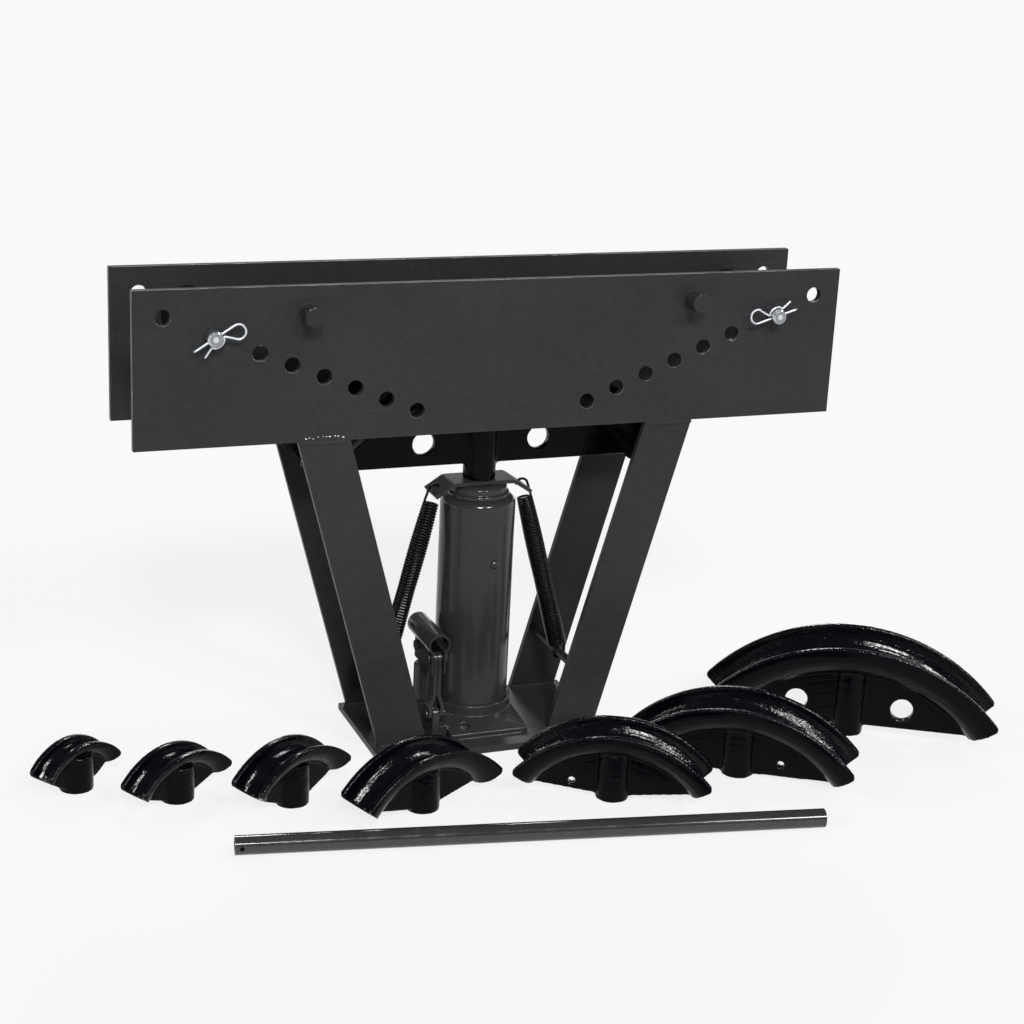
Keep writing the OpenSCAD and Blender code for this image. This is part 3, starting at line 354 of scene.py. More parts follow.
def ring_bead(mesh, middle, axis, radius, size, chance):
    """A weld that runs round a bar or a tube where it meets a plate."""
    middle, axis = Vector(middle), Vector(axis).normalized()
    first = axis.orthogonal().normalized()
    second = axis.cross(first)
    count = int(2 * math.pi * radius / WELD_STEP)
    made = []
    for i in range(count):
        turn = 2 * math.pi * i / count
        ray = first * math.cos(turn) + second * math.sin(turn)
        ripple = RING_TROUGH + RING_CREST * ((i * WELD_STEP / RING_RIPPLE) % 1.0)
        ripple += chance.uniform(-RING_UNEVEN, RING_UNEVEN)
        points = []
        for k in range(RING_SIDES):
            lap = 2 * math.pi * k / RING_SIDES
            lean = ray * (size * ripple * math.cos(lap)) + axis * (size * ripple * math.sin(lap))
            points.append(mesh.verts.new(middle + ray * radius + lean))
        made.append(points)
    for ring, after in zip(made, made[1:] + made[:1]):
        for k in range(RING_SIDES):
            following = (k + 1) % RING_SIDES
            mesh.faces.new((ring[k], ring[following], after[following], after[k]))


for name in ("plate_pegs", "left_spring_rod", "right_spring_rod"):
    broken_edges(name, BAR_ROUND, FRAME_PAINT, BAR_EDGE)
bar_welds = bmesh.new()
for side in (-1, 1):
    ring_bead(bar_welds, (side * PEG_X, -PLATE_FACE, PEG_Z), (0, 1, 0), PEG_R, PEG_BEAD, chance)
    for face in (-1, 1):
        ring_bead(bar_welds, (side * ROD_X, face * PLATE_INSIDE, ROD_Z), (0, 1, 0), ROD_R, ROD_BEAD, chance)
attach(finished_piece("bar_welds", bar_welds, FRAME_PAINT), "frame")

# Weld spatter: beads of bare steel that stuck to the front plate above the front left leg's seam and
# took no paint. They are as bright as zinc plate, with the same soft bloom and fine lines as turned steel.
SPATTER_X = (-0.2215, -0.1775)
SPATTER_Z = (0.3690, 0.3715)
SPATTER_SIZE = (0.0006, 0.0012)
SPATTER_COUNT, SPATTER_RISE = 10, 0.0004
SPATTER_SHIFT, SPATTER_STRETCH = (0.2, 0.8), (1.0, 1.9)
LINE_SIZE, LINE_DIRECTION = 0.02, (1.0, 60.0, 60.0)
STAIN_SIZE, BLOOM_SIZE = 0.012, 0.006

# Lathe lines: fine turning marks and stains that make steel smoother here and rougher there
LATHE_LINES, given, result = effect_group(
    "lathe_lines", {"Roughness low": 0.18, "Roughness high": 0.34}, ("Roughness", "Height"))
tree = LATHE_LINES
where = surface_point(tree)
lines = noise(tree, stretched(tree, where, LINE_DIRECTION), LINE_SIZE, detail=2.0, rough=0.7)
stains = noise(tree, where, STAIN_SIZE, detail=3.0, rough=0.6)
span = calculate(tree, "MULTIPLY", lines, 0.6)
span = calculate(tree, "ADD", span, calculate(tree, "MULTIPLY", stains, 0.4))
rough = remap(tree, span, 0.35, 0.65, given["Roughness low"], given["Roughness high"])
tree.links.new(rough, result["Roughness"])
tree.links.new(lines, result["Height"])


def steel_finish(name, pale, dark, low, high, depth):
    """Bare or plated steel: two tones in soft patches, with turning marks; low and high are its roughness."""
    material, tree, shader = new_finish(name, Metallic=1.0)
    marks = use_group(tree, LATHE_LINES, {"Roughness low": low, "Roughness high": high})
    bloom = remap(tree, noise(tree, surface_point(tree), BLOOM_SIZE, detail=3.0, rough=0.6), 0.35, 0.65)
    tree.links.new(mix_colour(tree, bloom, pale, dark), shader["Base Color"])
    tree.links.new(marks["Roughness"], shader["Roughness"])
    link_bump(tree, shader, marks["Height"], strength=0.3, depth=depth)
    return material


ZINC = steel_finish("bright_zinc", pale=(0.80, 0.82, 0.86, 1.0), dark=(0.58, 0.60, 0.64, 1.0),
                    low=0.20, high=0.36, depth=0.00005)
spatter = bmesh.new()
for i in range(SPATTER_COUNT):
    size = chance.uniform(*SPATTER_SIZE)
    share = (i + chance.uniform(*SPATTER_SHIFT)) / SPATTER_COUNT
    along = SPATTER_X[0] + (SPATTER_X[1] - SPATTER_X[0]) * share
    spot = (along, -PLATE_FACE, chance.uniform(*SPATTER_Z))
    spread = Matrix.Diagonal((size * chance.uniform(*SPATTER_STRETCH), SPATTER_RISE, size, 1.0))
    blob = Matrix.Translation(spot) @ spread
    bmesh.ops.create_icosphere(spatter, subdivisions=2, radius=1.0, matrix=blob)
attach(finished_piece("weld_spatter", spatter, ZINC), "frame")

# Jack base: an iron casting with a foot, the tank's collar, the pump block and the lug for the pump's link.
# It stands on the base plate and is welded round the foot. Its paint is glossier than the frame's.
FOOT_X, FOOT_FRONT, FOOT_BACK, FOOT_Z = 0.0462, -0.070, 0.050, 0.008
COLLAR_R, COLLAR_FOOT_Z = 0.0462, 0.0225
JACK_BEAD, COLLAR_BEAD, BEAD_INSET = 0.0022, 0.0012, 0.006
BASE_GRID, BASE_ROUNDS, PLUG_ROUND = 0.0009, 4, 0.0008
CAST_GRAIN, PITS_PER_METRE, PIT_PATCH = 0.0018, 230.0, 0.016
GLOSS_PATCH = 0.012

# Casting skin: the lumps, grain and pits that a sand mould leaves under the paint
CASTING_SKIN, given, result = effect_group(
    "casting_skin", {"Lump size": 0.012, "Pitting": 0.5}, ("Height",))
tree = CASTING_SKIN
where = surface_point(tree)
lump_scale = calculate(tree, "DIVIDE", 1.0, given["Lump size"])
lumps = add_node(tree, "TexNoise", {"Vector": where, "Scale": lump_scale, "Detail": 2.0}).outputs["Fac"]
grain = noise(tree, where, CAST_GRAIN, detail=3.0, rough=0.65)
pit_cells = add_node(tree, "TexVoronoi", {"Vector": where, "Scale": PITS_PER_METRE}).outputs["Distance"]
pit_gate = remap(tree, noise(tree, where, PIT_PATCH), 0.55, 0.64)
pits = calculate(tree, "MULTIPLY", remap(tree, pit_cells, 0.12, 0.26, 1.0, 0.0), pit_gate)
pits = calculate(tree, "MULTIPLY", pits, given["Pitting"])
height = calculate(tree, "ADD", lumps, calculate(tree, "MULTIPLY", grain, 0.16))
height = calculate(tree, "SUBTRACT", height, calculate(tree, "MULTIPLY", pits, 0.35))
tree.links.new(height, result["Height"])

# Settled gloss: paint and enamel run level and glossy on the faces that lie upward while they dry
SETTLED_GLOSS, given, result = effect_group("settled_gloss", {"Amount": 1.0}, ("Weight",))
tree = SETTLED_GLOSS
level = remap(tree, facing_up(tree), 0.05, 0.45)
patches = remap(tree, noise(tree, surface_point(tree), GLOSS_PATCH), 0.35, 0.6, 0.6, 1.0)
level = calculate(tree, "MULTIPLY", level, patches)
tree.links.new(calculate(tree, "MULTIPLY", level, given["Amount"]), result["Weight"])


def jack_paint(name, lump_depth, dullness, pitting):
    """Glossy charcoal paint over a casting or a drawn tube."""
    material, tree, shader = new_finish(name, **{"Specular IOR Level": 0.22, "Coat Roughness": 0.14})
    film = use_group(tree, PAINT_FILM, {"Dullness": dullness, "Scuffing": 0.25})
    tree.links.new(use_group(tree, SETTLED_GLOSS, {"Amount": 0.8})["Weight"], shader["Coat Weight"])
    skin = use_group(tree, CASTING_SKIN, {"Lump size": 0.010, "Pitting": pitting})
    tree.links.new(film["Colour"], shader["Base Color"])
    tree.links.new(film["Roughness"], shader["Roughness"])
    link_bump(tree, shader, skin["Height"], strength=0.5, depth=lump_depth)
    return material


JACK_CAST_PAINT = jack_paint("jack_casting_paint", lump_depth=0.0005, dullness=0.24, pitting=0.8)
JACK_TUBE_PAINT = jack_paint("jack_tube_paint", lump_depth=0.00010, dullness=0.20, pitting=0.1)


def cast_form(name, grid, rounds, finish):
    """A casting: the part's solid with every corner and inner corner rounded, as a mould leaves it."""
    part = coated_part(name, finish)
    join_faces(part)
    skin = part.modifiers.new("mould_rounding", "REMESH")
    skin.mode = "VOXEL"
    skin.voxel_size = grid
    skin.use_smooth_shade = True
    soft = part.modifiers.new("soft_corners", "SMOOTH")
    soft.factor = 0.5
    soft.iterations = rounds


cast_form("jack_base", BASE_GRID, BASE_ROUNDS, JACK_CAST_PAINT)
broken_edges("base_plug", PLUG_ROUND, JACK_CAST_PAINT, PLATE_EDGE)
jack_welds = bmesh.new()
weld_bead(jack_welds, (FOOT_X, FOOT_FRONT + BEAD_INSET, FOOT_Z), (FOOT_X, FOOT_BACK - BEAD_INSET, FOOT_Z),
          JACK_BEAD, JACK_BEAD, (1, 0, 1), chance)
for edge, out in ((FOOT_FRONT, -1), (FOOT_BACK, 1)):
    weld_bead(jack_welds, (-FOOT_X + BEAD_INSET, edge, FOOT_Z), (FOOT_X - BEAD_INSET, edge, FOOT_Z),
              JACK_BEAD, JACK_BEAD, (0, out, 1), chance)
ring_bead(jack_welds, (0, 0, COLLAR_FOOT_Z), (0, 0, 1), COLLAR_R, COLLAR_BEAD, chance)
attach(finished_piece("jack_foot_welds", jack_welds, JACK_CAST_PAINT), "frame")

# Tank and pressure cylinder: a drawn steel tube with a rolled shoulder over a honed inner cylinder.
# A round nut with a flange draws both down on the base, over a rubber gasket.
MACHINED_ROUND, NUT_ROUND = 0.0004, 0.0008
GROUND_STEEL = steel_finish("ground_steel", pale=(0.55, 0.56, 0.58, 1.0), dark=(0.42, 0.43, 0.45, 1.0),
                            low=0.14, high=0.26, depth=0.00002)
broken_edges("reservoir_tank", MACHINED_ROUND, JACK_TUBE_PAINT)
broken_edges("tank_nut", NUT_ROUND, JACK_TUBE_PAINT)
broken_edges("pressure_cylinder", MACHINED_ROUND, GROUND_STEEL)
coated_part("check_balls", GROUND_STEEL)

# Rubber pieces: moulded nitrile, matt, with a fine mould grain. The filler plug in the tank's side
# is rubber too, and is sprayed over with the tank.
RUBBER_DARK, RUBBER_BLOOM = (0.012, 0.012, 0.013, 1.0), (0.022, 0.022, 0.023, 1.0)
RUBBER_PATCH, MOULD_GRAIN = 0.004, 0.0006
RUBBER, tree, shader = new_finish("black_rubber", **{"Specular IOR Level": 0.3})
where = surface_point(tree)
bloom = remap(tree, noise(tree, where, RUBBER_PATCH, detail=3.0, rough=0.6), 0.3, 0.7)
tree.links.new(mix_colour(tree, bloom, RUBBER_DARK, RUBBER_BLOOM), shader["Base Color"])
tree.links.new(remap(tree, bloom, 0.0, 1.0, 0.30, 0.48), shader["Roughness"])
link_bump(tree, shader, noise(tree, where, MOULD_GRAIN), strength=0.25, depth=0.00004)
for name in ("tank_gasket", "ram_wiper", "piston_cup", "plunger_seal"):
    coated_part(name, RUBBER)
coated_part("filler_plug", JACK_TUBE_PAINT)

# Ram: a ground steel bar on a piston. A painted strap of bent plate lies across its shoulder,
# and the springs pull on the strap's ends.
STRAP_ROUND = 0.0009
broken_edges("ram_rod", MACHINED_ROUND, GROUND_STEEL)
broken_edges("ram_piston", MACHINED_ROUND, GROUND_STEEL)
broken_edges("spring_bracket", STRAP_ROUND, FRAME_PAINT, BAR_EDGE)

# Pump: a turned barrel screwed into the base, a ground plunger, and a lever of a link and a folded socket,
# joined by three headed pins. The release valve is a plain screw beside the pump.
PUMP_ROUND, LINK_ROUND = 0.0005, 0.0009
OILED_STEEL = steel_finish("oiled_steel", pale=(0.20, 0.20, 0.21, 1.0), dark=(0.11, 0.11, 0.12, 1.0),
                           low=0.16, high=0.30, depth=0.00003)
broken_edges("pump_barrel", PUMP_ROUND, JACK_TUBE_PAINT, BAR_EDGE)
broken_edges("pump_link", LINK_ROUND, JACK_TUBE_PAINT, BAR_EDGE)
broken_edges("handle_socket", PUMP_ROUND, JACK_TUBE_PAINT, BAR_EDGE)
broken_edges("pump_plunger", MACHINED_ROUND, OILED_STEEL)
broken_edges("release_valve", PUMP_ROUND, ZINC)
for name in ("link_foot_pin", "link_head_pin", "plunger_pin"):
    broken_edges(name, PUMP_ROUND, JACK_TUBE_PAINT)

# Return springs: black drawn wire, close coils that swell a little above their middle and narrow to the top,
# a hook round the rod below and a hook through the strap above.
SPRING_WIRE_R, SPRING_WIRE_SIDES = 0.0015, 8
SPRING_LOW_R, SPRING_TOP_R, SPRING_SWELL = 0.0097, 0.0078, 0.0010
SPRING_SWELL_FROM = 0.45
SPRING_COILS, SPRING_STEPS = 55, 8
ROD_HOOK_R, ROD_HOOK_RUN = 0.00675, 0.011
STRAP_HOOK_R, STRAP_HOOK_RUN = 0.007, 0.014
STRAP_HOOK = (0.05235, 0.0, 0.2819)
# Each arc of a wire: its first and last angle in degrees, and its number of points
ROD_HOOK_ARC, STRAP_HOOK_ARC = (320, 90, 11), (90, -74, 9)
# Each spring: name, side, and where its lower hook sits along the rod
SPRINGS = (("left_return_spring", -1, 0.0), ("right_return_spring", 1, -0.012))
WIRE_TIP = 0.75
WIRE_DARK, WIRE_PALE = (0.0020, 0.0020, 0.0028, 1.0), (0.0060, 0.0060, 0.0075, 1.0)
WIRE_PATCH, DRAWING_MARKS = 0.004, 0.0007


def smooth_route(points, steps):
    """More points on a smooth curve through the given ones."""
    ends = [points[0] * 2 - points[1]] + list(points) + [points[-1] * 2 - points[-2]]
    route = []
    for a, b, c, d in zip(ends, ends[1:], ends[2:], ends[3:]):
        for k in range(steps):
            t = k / steps
            route.append(0.5 * (2 * b + (c - a) * t + (2 * a - 5 * b + 4 * c - d) * t ** 2
                                + (3 * b - a - 3 * c + d) * t ** 3))
    return route + [points[-1]]


def arc_points(radius, start, end, count):
    """Points on an arc about the origin, from one angle in degrees to another."""
    turns = [math.radians(start + (end - start) * k / (count - 1)) for k in range(count)]
    return [(radius * math.cos(turn), radius * math.sin(turn)) for turn in turns]


def wire_form(mesh, route, radius, sides):
    """A round wire along a route, with slightly narrowed cut ends."""
    side_dir = (route[1] - route[0]).orthogonal().normalized()
    rings = []
    for i, point in enumerate(route):
        along = (route[min(i + 1, len(route) - 1)] - route[max(i - 1, 0)]).normalized()
        side_dir = (side_dir - along * side_dir.dot(along)).normalized()
        other = along.cross(side_dir)
        size = radius * (WIRE_TIP if i in (0, len(route) - 1) else 1.0)
        turns = [2 * math.pi * k / sides for k in range(sides)]
        rings.append([point + side_dir * (size * math.cos(t)) + other * (size * math.sin(t)) for t in turns])
    closed_tube(mesh, rings)


def spring_route(side, low_y):
    """The wire's middle line, from the hook on the rod to the hook in the strap."""
    low = Vector((ROD_X, low_y, ROD_Z))
    high = Vector(STRAP_HOOK)
    run = (high - low).length
    up = (high - low).normalized()
    out = Vector((0, 1, 0)).cross(up).normalized()
    deep = up.cross(out)
    spots = [(a, b, 0) for a, b in arc_points(ROD_HOOK_R, *ROD_HOOK_ARC)]
    spots.append((ROD_HOOK_RUN / 2, (ROD_HOOK_R + SPRING_LOW_R) / 2, 0))
    last = SPRING_COILS * SPRING_STEPS
    for k in range(last + 1):
        radius = SPRING_LOW_R + (SPRING_TOP_R - SPRING_LOW_R) * k / last
        upper = max(0.0, (k / last - SPRING_SWELL_FROM) / (1 - SPRING_SWELL_FROM))
        radius += SPRING_SWELL * math.sin(math.pi * upper)
        turn = 2 * math.pi * k / SPRING_STEPS
        spots.append((ROD_HOOK_RUN + (run - ROD_HOOK_RUN - STRAP_HOOK_RUN) * k / last,
                      radius * math.cos(turn), radius * math.sin(turn)))
    spots.append((run - STRAP_HOOK_RUN / 2, (STRAP_HOOK_R + SPRING_TOP_R) / 2, 0))
    spots += [(run + a, b, 0) for a, b in arc_points(STRAP_HOOK_R, *STRAP_HOOK_ARC)]
    points = [low + up * a + out * b + deep * c for a, b, c in spots]
    return [Vector((side * p.x, p.y, p.z)) for p in points]


SPRING_BLACK, tree, shader = new_finish("spring_black", **{"Specular IOR Level": 0.18})
where = surface_point(tree)
drawn = noise(tree, where, WIRE_PATCH, detail=3.0, rough=0.6)
tree.links.new(mix_colour(tree, drawn, WIRE_DARK, WIRE_PALE), shader["Base Color"])
tree.links.new(remap(tree, drawn, 0.3, 0.7, 0.15, 0.22), shader["Roughness"])
link_bump(tree, shader, noise(tree, where, DRAWING_MARKS), strength=0.2, depth=0.00002)
for name, side, low_y in SPRINGS:
    coil = bmesh.new()
    wire_form(coil, smooth_route(spring_route(side, low_y), steps=3), SPRING_WIRE_R, SPRING_WIRE_SIDES)
    spring = finished_piece(name.replace("return", "drawn_wire"), coil, SPRING_BLACK)
    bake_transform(spring)
    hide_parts(name)

# Rollers and their pins: a black steel roller turns on a bright turned pin in one pair of holes.
# A hairpin clip of spring wire through the pin's nose keeps it in.
ROLLER_X, ROLLER_Z, ROLLER_ROUND = 0.319, 0.4832, 0.0008
PIN_R, PIN_ROUND = 0.0082, 0.0012
# The pin's pale tone carries its painted highlight
PIN_PALE_HIGHLIGHT, PIN_DARK = (0.85, 0.87, 0.90, 1.0), (0.20, 0.21, 0.23, 1.0)
# Painted highlight on the pin's end: bright in the middle, dulling between the first two radii and clearing
# between the others
PIN_HIGHLIGHT_FADES, PIN_RIM_HIGHLIGHT = (0.0018, 0.0036), (0.0058, 0.0068)
TURNING_RINGS_PER_METRE, TURNING_DEPTH = 1400.0, 0.0002
CLIP_Y = -0.07545
CLIP_WIRE_R, CLIP_WIRE_SIDES = 0.0013, 12
CLIP_LEG, CLIP_EYE_R, CLIP_EYE_LAP, CLIP_SLACK = 0.025, 0.00775, 0.001, 0.0005
CLIP_EYE_ARC, CLIP_HUMP_ARC = (90, -150, 13), (-22, -138, 9)
CLIP_TAIL = ((-0.0035, 0.001), (-0.009, -0.0015))
# Each clip: name, side, the lean of its straight leg in degrees, and the body that carries it
CLIPS = (("left_pin_clip", -1, 32, "left_pin"), ("right_pin_clip", 1, 197, "right_pin"))
BLACK_STEEL = steel_finish("black_oxide", pale=(0.022, 0.022, 0.025, 1.0), dark=(0.010, 0.010, 0.012, 1.0),
                           low=0.30, high=0.46, depth=0.00004)
for name in ("left_roller", "right_roller"):
    broken_edges(name, ROLLER_ROUND, BLACK_STEEL)

# Turned pin: turning rings on bright metal, with a painted highlight on its end
PIN_STEEL, tree, shader = new_finish("turned_pin", Metallic=1.0)
axes = add_node(tree, "SeparateXYZ", {"Vector": surface_point(tree)}).outputs
off_middle = add_node(tree, "Math", {0: axes["X"]}, operation="ABSOLUTE").outputs["Value"]
off_x = calculate(tree, "SUBTRACT", off_middle, ROLLER_X)
off_z = calculate(tree, "SUBTRACT", axes["Z"], ROLLER_Z)
across = add_node(tree, "CombineXYZ", {"X": off_x, "Z": off_z}).outputs["Vector"]
off_axis = add_node(tree, "VectorMath", {0: across}, operation="LENGTH").outputs["Value"]
ring_sockets = {"W": off_axis, "Scale": TURNING_RINGS_PER_METRE, "Detail": 2.0}
rings = add_node(tree, "TexNoise", ring_sockets, noise_dimensions="1D").outputs["Fac"]
# Painted highlight: the end is pale in the middle and again towards its rim
highlight_falloff = remap(tree, off_axis, *PIN_HIGHLIGHT_FADES, 0.0, 0.8)
highlight_falloff = calculate(tree, "SUBTRACT", highlight_falloff, remap(tree, off_axis, *PIN_RIM_HIGHLIGHT, 0.0, 0.5))
shade = calculate(tree, "ADD", highlight_falloff, remap(tree, rings, 0.35, 0.65, -0.25, 0.3))
tree.links.new(mix_colour(tree, shade, PIN_PALE_HIGHLIGHT, PIN_DARK), shader["Base Color"])
tree.links.new(remap(tree, rings, 0.3, 0.7, 0.22, 0.38), shader["Roughness"])
link_bump(tree, shader, rings, strength=0.6, depth=TURNING_DEPTH)
for name in ("left_roller_pin", "right_roller_pin"):
    broken_edges(name, PIN_ROUND, PIN_STEEL)


def clip_route(side, angle):
    """The clip's wire: a straight leg through the pin, an eye, and a leg humped round the pin."""
    hump_r = PIN_R + CLIP_WIRE_R + CLIP_SLACK
    spots = [(-CLIP_LEG, 0), (-CLIP_LEG / 2, 0), (0, 0), (CLIP_LEG / 2, 0)]
    eye_x = CLIP_LEG - CLIP_EYE_LAP
    spots += [(eye_x + a, -CLIP_EYE_R + b) for a, b in arc_points(CLIP_EYE_R, *CLIP_EYE_ARC)]
    spots += arc_points(hump_r, *CLIP_HUMP_ARC)
    spots += [(-hump_r + a, -hump_r + b) for a, b in CLIP_TAIL]
    flat, steep = math.cos(math.radians(angle)), math.sin(math.radians(angle))
    middle = Vector((side * ROLLER_X, CLIP_Y, ROLLER_Z))
    return [middle + Vector((a * flat - b * steep, 0, a * steep + b * flat)) for a, b in spots]


CLIP_STEEL = steel_finish("clip_wire", pale=(0.88, 0.90, 0.94, 1.0), dark=(0.74, 0.76, 0.80, 1.0),
                          low=0.36, high=0.46, depth=0.00001)
for name, side, angle, body in CLIPS:
    wire = bmesh.new()
    wire_form(wire, smooth_route(clip_route(side, angle), steps=4), CLIP_WIRE_R, CLIP_WIRE_SIDES)
    clip = finished_piece(name.replace("clip", "hairpin"), wire, CLIP_STEEL)
    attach(clip, body)
    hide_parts(name)

# Bending dies: iron castings with a half-round groove in the rim, a web and a hub that sits on the ram.
# They are dipped in gloss black enamel, which shows the streaks and pits of the casting.
# Each row: name, grid of its mould rounding, the rim's centre, turn on the floor.
DIES = (("half_inch_die", 0.0009, (-0.463, -0.060, -0.00963), 33.0),
        ("three_quarter_inch_die", 0.0009, (-0.367, -0.113, -0.02499), 30.0),
        ("one_inch_die", 0.0010, (-0.254, -0.154, -0.02715), 30.0),
        ("one_and_quarter_inch_die", 0.0011, (-0.126, -0.204, -0.04729), 20.0),
        ("one_and_half_inch_die", 0.0012, (0.079, -0.234, -0.05800), -27.5),
        ("two_inch_die", 0.0014, (0.239, -0.216, -0.08497), -34.5),
        ("two_and_half_inch_die", 0.0016, (0.418, -0.148, -0.10271), -30.5),
        ("three_inch_die", 0.0018, (0.0, 0.0, 0.15014), 0.0))
DIE_ROUNDS = 5
ENAMEL = (0.0016, 0.0018, 0.0030, 1.0)
ENAMEL_THIN = (0.040, 0.040, 0.052, 1.0)
STREAK_STRETCH = 0.012
RIDGE_SIZE, STREAK_SIZE, ROUGH_PATCH = 0.0055, 0.0024, 0.011
ENAMEL_GRAIN, THIN_PATCH, SMEAR_SIZE = 0.0020, 0.006, 0.02
ENAMEL_DEPTH = 0.0007


def enamel_finish(name, place, turn):
    """Gloss black enamel, with streaks that run round the die's rim about the given centre."""
    constants = {"Specular IOR Level": 0.07, "Coat Roughness": 0.06}
    material, tree, shader = new_finish(name + "_enamel", **constants)
    tree.links.new(use_group(tree, SETTLED_GLOSS, {"Amount": 0.6})["Weight"], shader["Coat Weight"])
    where = surface_point(tree)
    turned = {"Vector": where, "Location": place, "Rotation": (0, 0, math.radians(turn))}
    local = add_node(tree, "Mapping", turned, vector_type="TEXTURE").outputs["Vector"]
    axes = add_node(tree, "SeparateXYZ", {"Vector": local}).outputs
    across = add_node(tree, "CombineXYZ", {"X": axes["X"], "Z": axes["Z"]}).outputs["Vector"]
    radius = add_node(tree, "VectorMath", {0: across}, operation="LENGTH").outputs["Value"]
    angle = calculate(tree, "ARCTAN2", axes["X"], axes["Z"])
    arc = calculate(tree, "MULTIPLY", angle, STREAK_STRETCH)
    round_rim = add_node(tree, "CombineXYZ", {"X": arc, "Y": axes["Y"], "Z": radius}).outputs["Vector"]
    ridges = noise(tree, round_rim, RIDGE_SIZE, detail=1.0, rough=0.5)
    streaks = noise(tree, round_rim, STREAK_SIZE, detail=1.5, rough=0.55)
    grain = noise(tree, where, ENAMEL_GRAIN, detail=1.0, rough=0.45)
    rough_cast = remap(tree, noise(tree, round_rim, ROUGH_PATCH), 0.42, 0.60, 0.22, 0.75)
    lines = calculate(tree, "ADD", ridges, calculate(tree, "MULTIPLY", streaks, 0.35))
    lines = calculate(tree, "ADD", lines, calculate(tree, "MULTIPLY", grain, rough_cast))
    skin = use_group(tree, CASTING_SKIN, {"Lump size": 0.014, "Pitting": 1.0})
    height = calculate(tree, "ADD", skin["Height"], lines)
    corner = add_node(tree, "NewGeometry").outputs["Pointiness"]
    wear = remap(tree, noise(tree, where, THIN_PATCH, detail=3.0), 0.3, 0.7, -0.03, 0.03)
    thin = remap(tree, calculate(tree, "ADD", corner, wear), 0.535, 0.60)
    tree.links.new(mix_colour(tree, thin, ENAMEL, ENAMEL_THIN), shader["Base Color"])
    smear = calculate(tree, "ADD", noise(tree, where, SMEAR_SIZE, detail=3.0, rough=0.6), streaks)
    tree.links.new(remap(tree, smear, 0.7, 1.3, 0.09, 0.20), shader["Roughness"])
    link_bump(tree, shader, height, strength=0.65, depth=ENAMEL_DEPTH)
    return material


for name, grid, place, turn in DIES:
    cast_form(name, grid, DIE_ROUNDS, enamel_finish(name, place, turn))

# Pump handle: a plain steel tube with a cross hole near one end, laid on the floor.
# Its paint is the frame's charcoal, smoother and glossier.
HANDLE_ROUND = 0.0005
HANDLE_PAINT = paint_finish("handle_paint", dullness=0.12, scuffing=0.12, peel_depth=0.00001, shine=0.6)
broken_edges("pump_handle", HANDLE_ROUND, HANDLE_PAINT)

# Studio: a white floor that curves up far off, and dim even light. Two lamps before the bender carry most
# of the light, a weak one on either side gives highlights, and one stands behind. The floor is lightened
# for the eye and for reflections, and keeps a soft shadow.
FLOOR_R, COVE_R, COVE_SIDES, COVE_STEPS = 40.0, 8.0, 64, 12
FLOOR_GLOW = 0.80
FLOOR_LOW, FLOOR_HIGH, FLOOR_PATCH = (0.79, 0.79, 0.79, 1.0), (0.81, 0.81, 0.81, 1.0), 0.9
WORLD_COLOUR, WORLD_STRENGTH = (0.90, 0.97, 1.08, 1.0), 0.12
floor_mesh = bmesh.new()
rim = [floor_mesh.verts.new((0.0, 0.0, 0.0))] * COVE_SIDES
for step in range(COVE_STEPS + 1):
    climb = math.radians(90 * step / COVE_STEPS)
    reach, height = FLOOR_R + COVE_R * math.sin(climb), COVE_R * (1 - math.cos(climb))
    turns = [2 * math.pi * k / COVE_SIDES for k in range(COVE_SIDES)]
    after = [floor_mesh.verts.new((reach * math.cos(t), reach * math.sin(t), height)) for t in turns]
    for k in range(COVE_SIDES):
        corners = [rim[k], after[k], after[(k + 1) % COVE_SIDES], rim[(k + 1) % COVE_SIDES]]
        floor_mesh.faces.new(corners[:3] if step == 0 else corners)
    rim = after
for face in floor_mesh.faces:
    face.smooth = True
floor_data = bpy.data.meshes.new("studio_floor")
floor_mesh.to_mesh(floor_data)
floor_mesh.free()

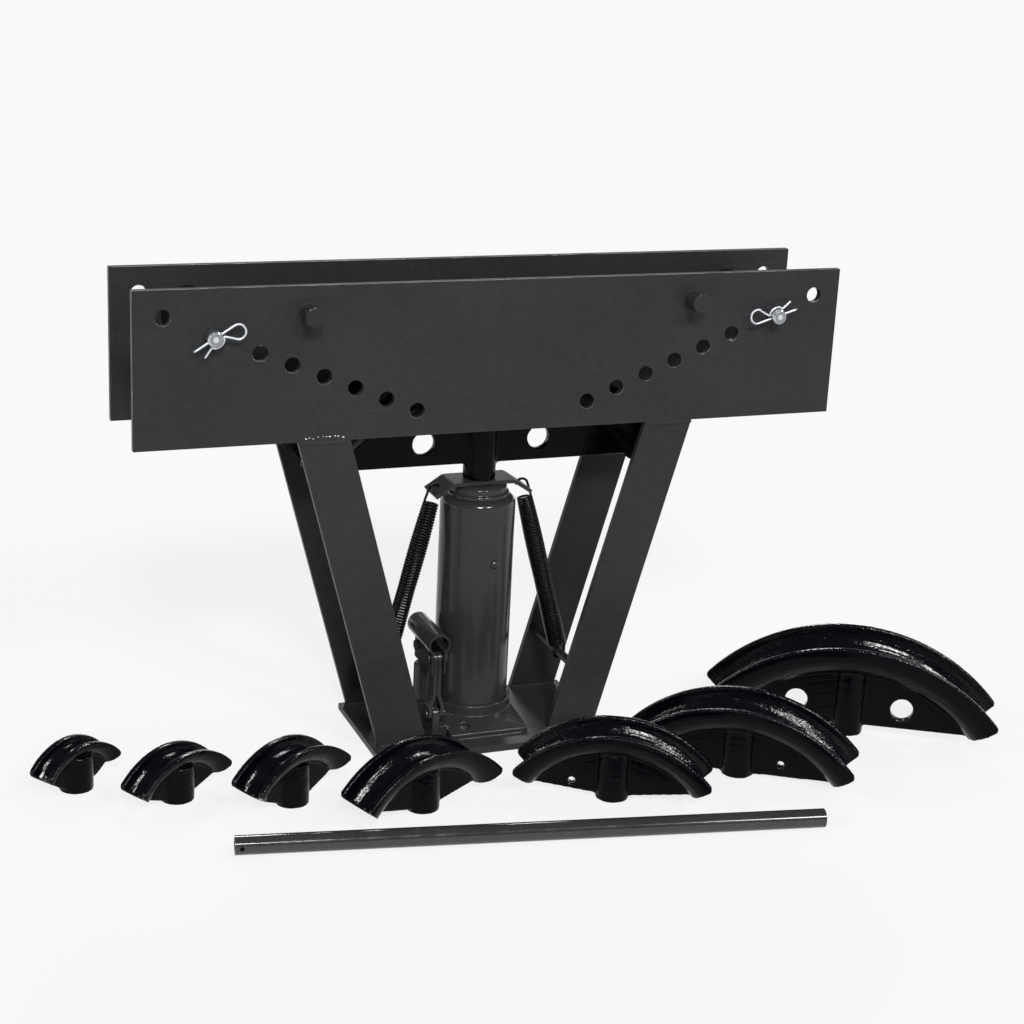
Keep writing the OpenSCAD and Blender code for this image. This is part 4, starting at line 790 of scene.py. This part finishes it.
FLOOR_PAINT, tree, shader = new_finish("studio_floor", Roughness=0.9, **{"Specular IOR Level": 0.0})
tint = remap(tree, noise(tree, surface_point(tree), FLOOR_PATCH), 0.3, 0.7)
tree.links.new(mix_colour(tree, tint, FLOOR_LOW, FLOOR_HIGH), shader["Base Color"])
rays = add_node(tree, "LightPath").outputs
seen = calculate(tree, "MAXIMUM", rays["Is Camera Ray"], rays["Is Glossy Ray"])
seen = calculate(tree, "MAXIMUM", seen, rays["Is Transmission Ray"])
share = calculate(tree, "MULTIPLY", seen, FLOOR_GLOW)
painted = shader["Base Color"].node.outputs["BSDF"]
glow = add_node(tree, "Emission", {"Color": (1.0, 1.0, 1.0, 1.0), "Strength": 1.0}).outputs["Emission"]
floor_mix = add_node(tree, "MixShader", {0: share, 1: painted, 2: glow})
output = next(made for made in tree.nodes if made.bl_idname == "ShaderNodeOutputMaterial")
tree.links.new(floor_mix.outputs["Shader"], output.inputs["Surface"])
floor_data.materials.append(FLOOR_PAINT)
floor = bpy.data.objects.new("studio_floor", floor_data)
bpy.context.scene.collection.objects.link(floor)

world = bpy.data.worlds.new("studio_light")
world.use_nodes = True
world.node_tree.nodes["Background"].inputs["Color"].default_value = WORLD_COLOUR
world.node_tree.nodes["Background"].inputs["Strength"].default_value = WORLD_STRENGTH
bpy.context.scene.world = world

# Each lamp: name, the direction it stands in, strength, its width in degrees
LAMPS = (("front_lamp", (-0.164, -0.771, 0.616), 1.46, 11.0),
         ("side_lamp", (0.25, -0.74, 0.62), 0.95, 10.0),
         ("left_lamp", (-0.86, 0.0, 0.50), 0.5, 12.0),
         ("right_lamp", (0.70, -0.03, 0.71), 0.50, 10.0),
         ("back_lamp", (0.25, 0.75, 0.61), 0.75, 12.0))
for name, toward, strength, spread in LAMPS:
    lamp = bpy.data.lights.new(name, "SUN")
    lamp.energy = strength
    lamp.angle = math.radians(spread)
    stand = bpy.data.objects.new(name, lamp)
    stand.rotation_euler = (-Vector(toward)).to_track_quat("-Z", "Y").to_euler()
    bpy.context.scene.collection.objects.link(stand)

# Camera: before the bender, to the left of its jack and above its side plates
CAMERA_PLACE = (-0.78417, -2.03843, 0.95865)
CAMERA_RIGHT = (0.93128, -0.36129, 0.04664)
CAMERA_UP = (0.06967, 0.30231, 0.95066)
CAMERA_BACK = (-0.35757, -0.88208, 0.30671)
camera = bpy.data.cameras.new("photo_camera")
camera.sensor_width = 36.0
camera.lens = 71.644
camera.clip_end = 200.0
view = bpy.data.objects.new("photo_camera", camera)
aim = Matrix((CAMERA_RIGHT, CAMERA_UP, CAMERA_BACK)).transposed().to_4x4()
view.matrix_world = Matrix.Translation(CAMERA_PLACE) @ aim
bpy.context.scene.collection.objects.link(view)
bpy.context.scene.camera = view
bpy.context.scene.view_settings.view_transform = "Standard"
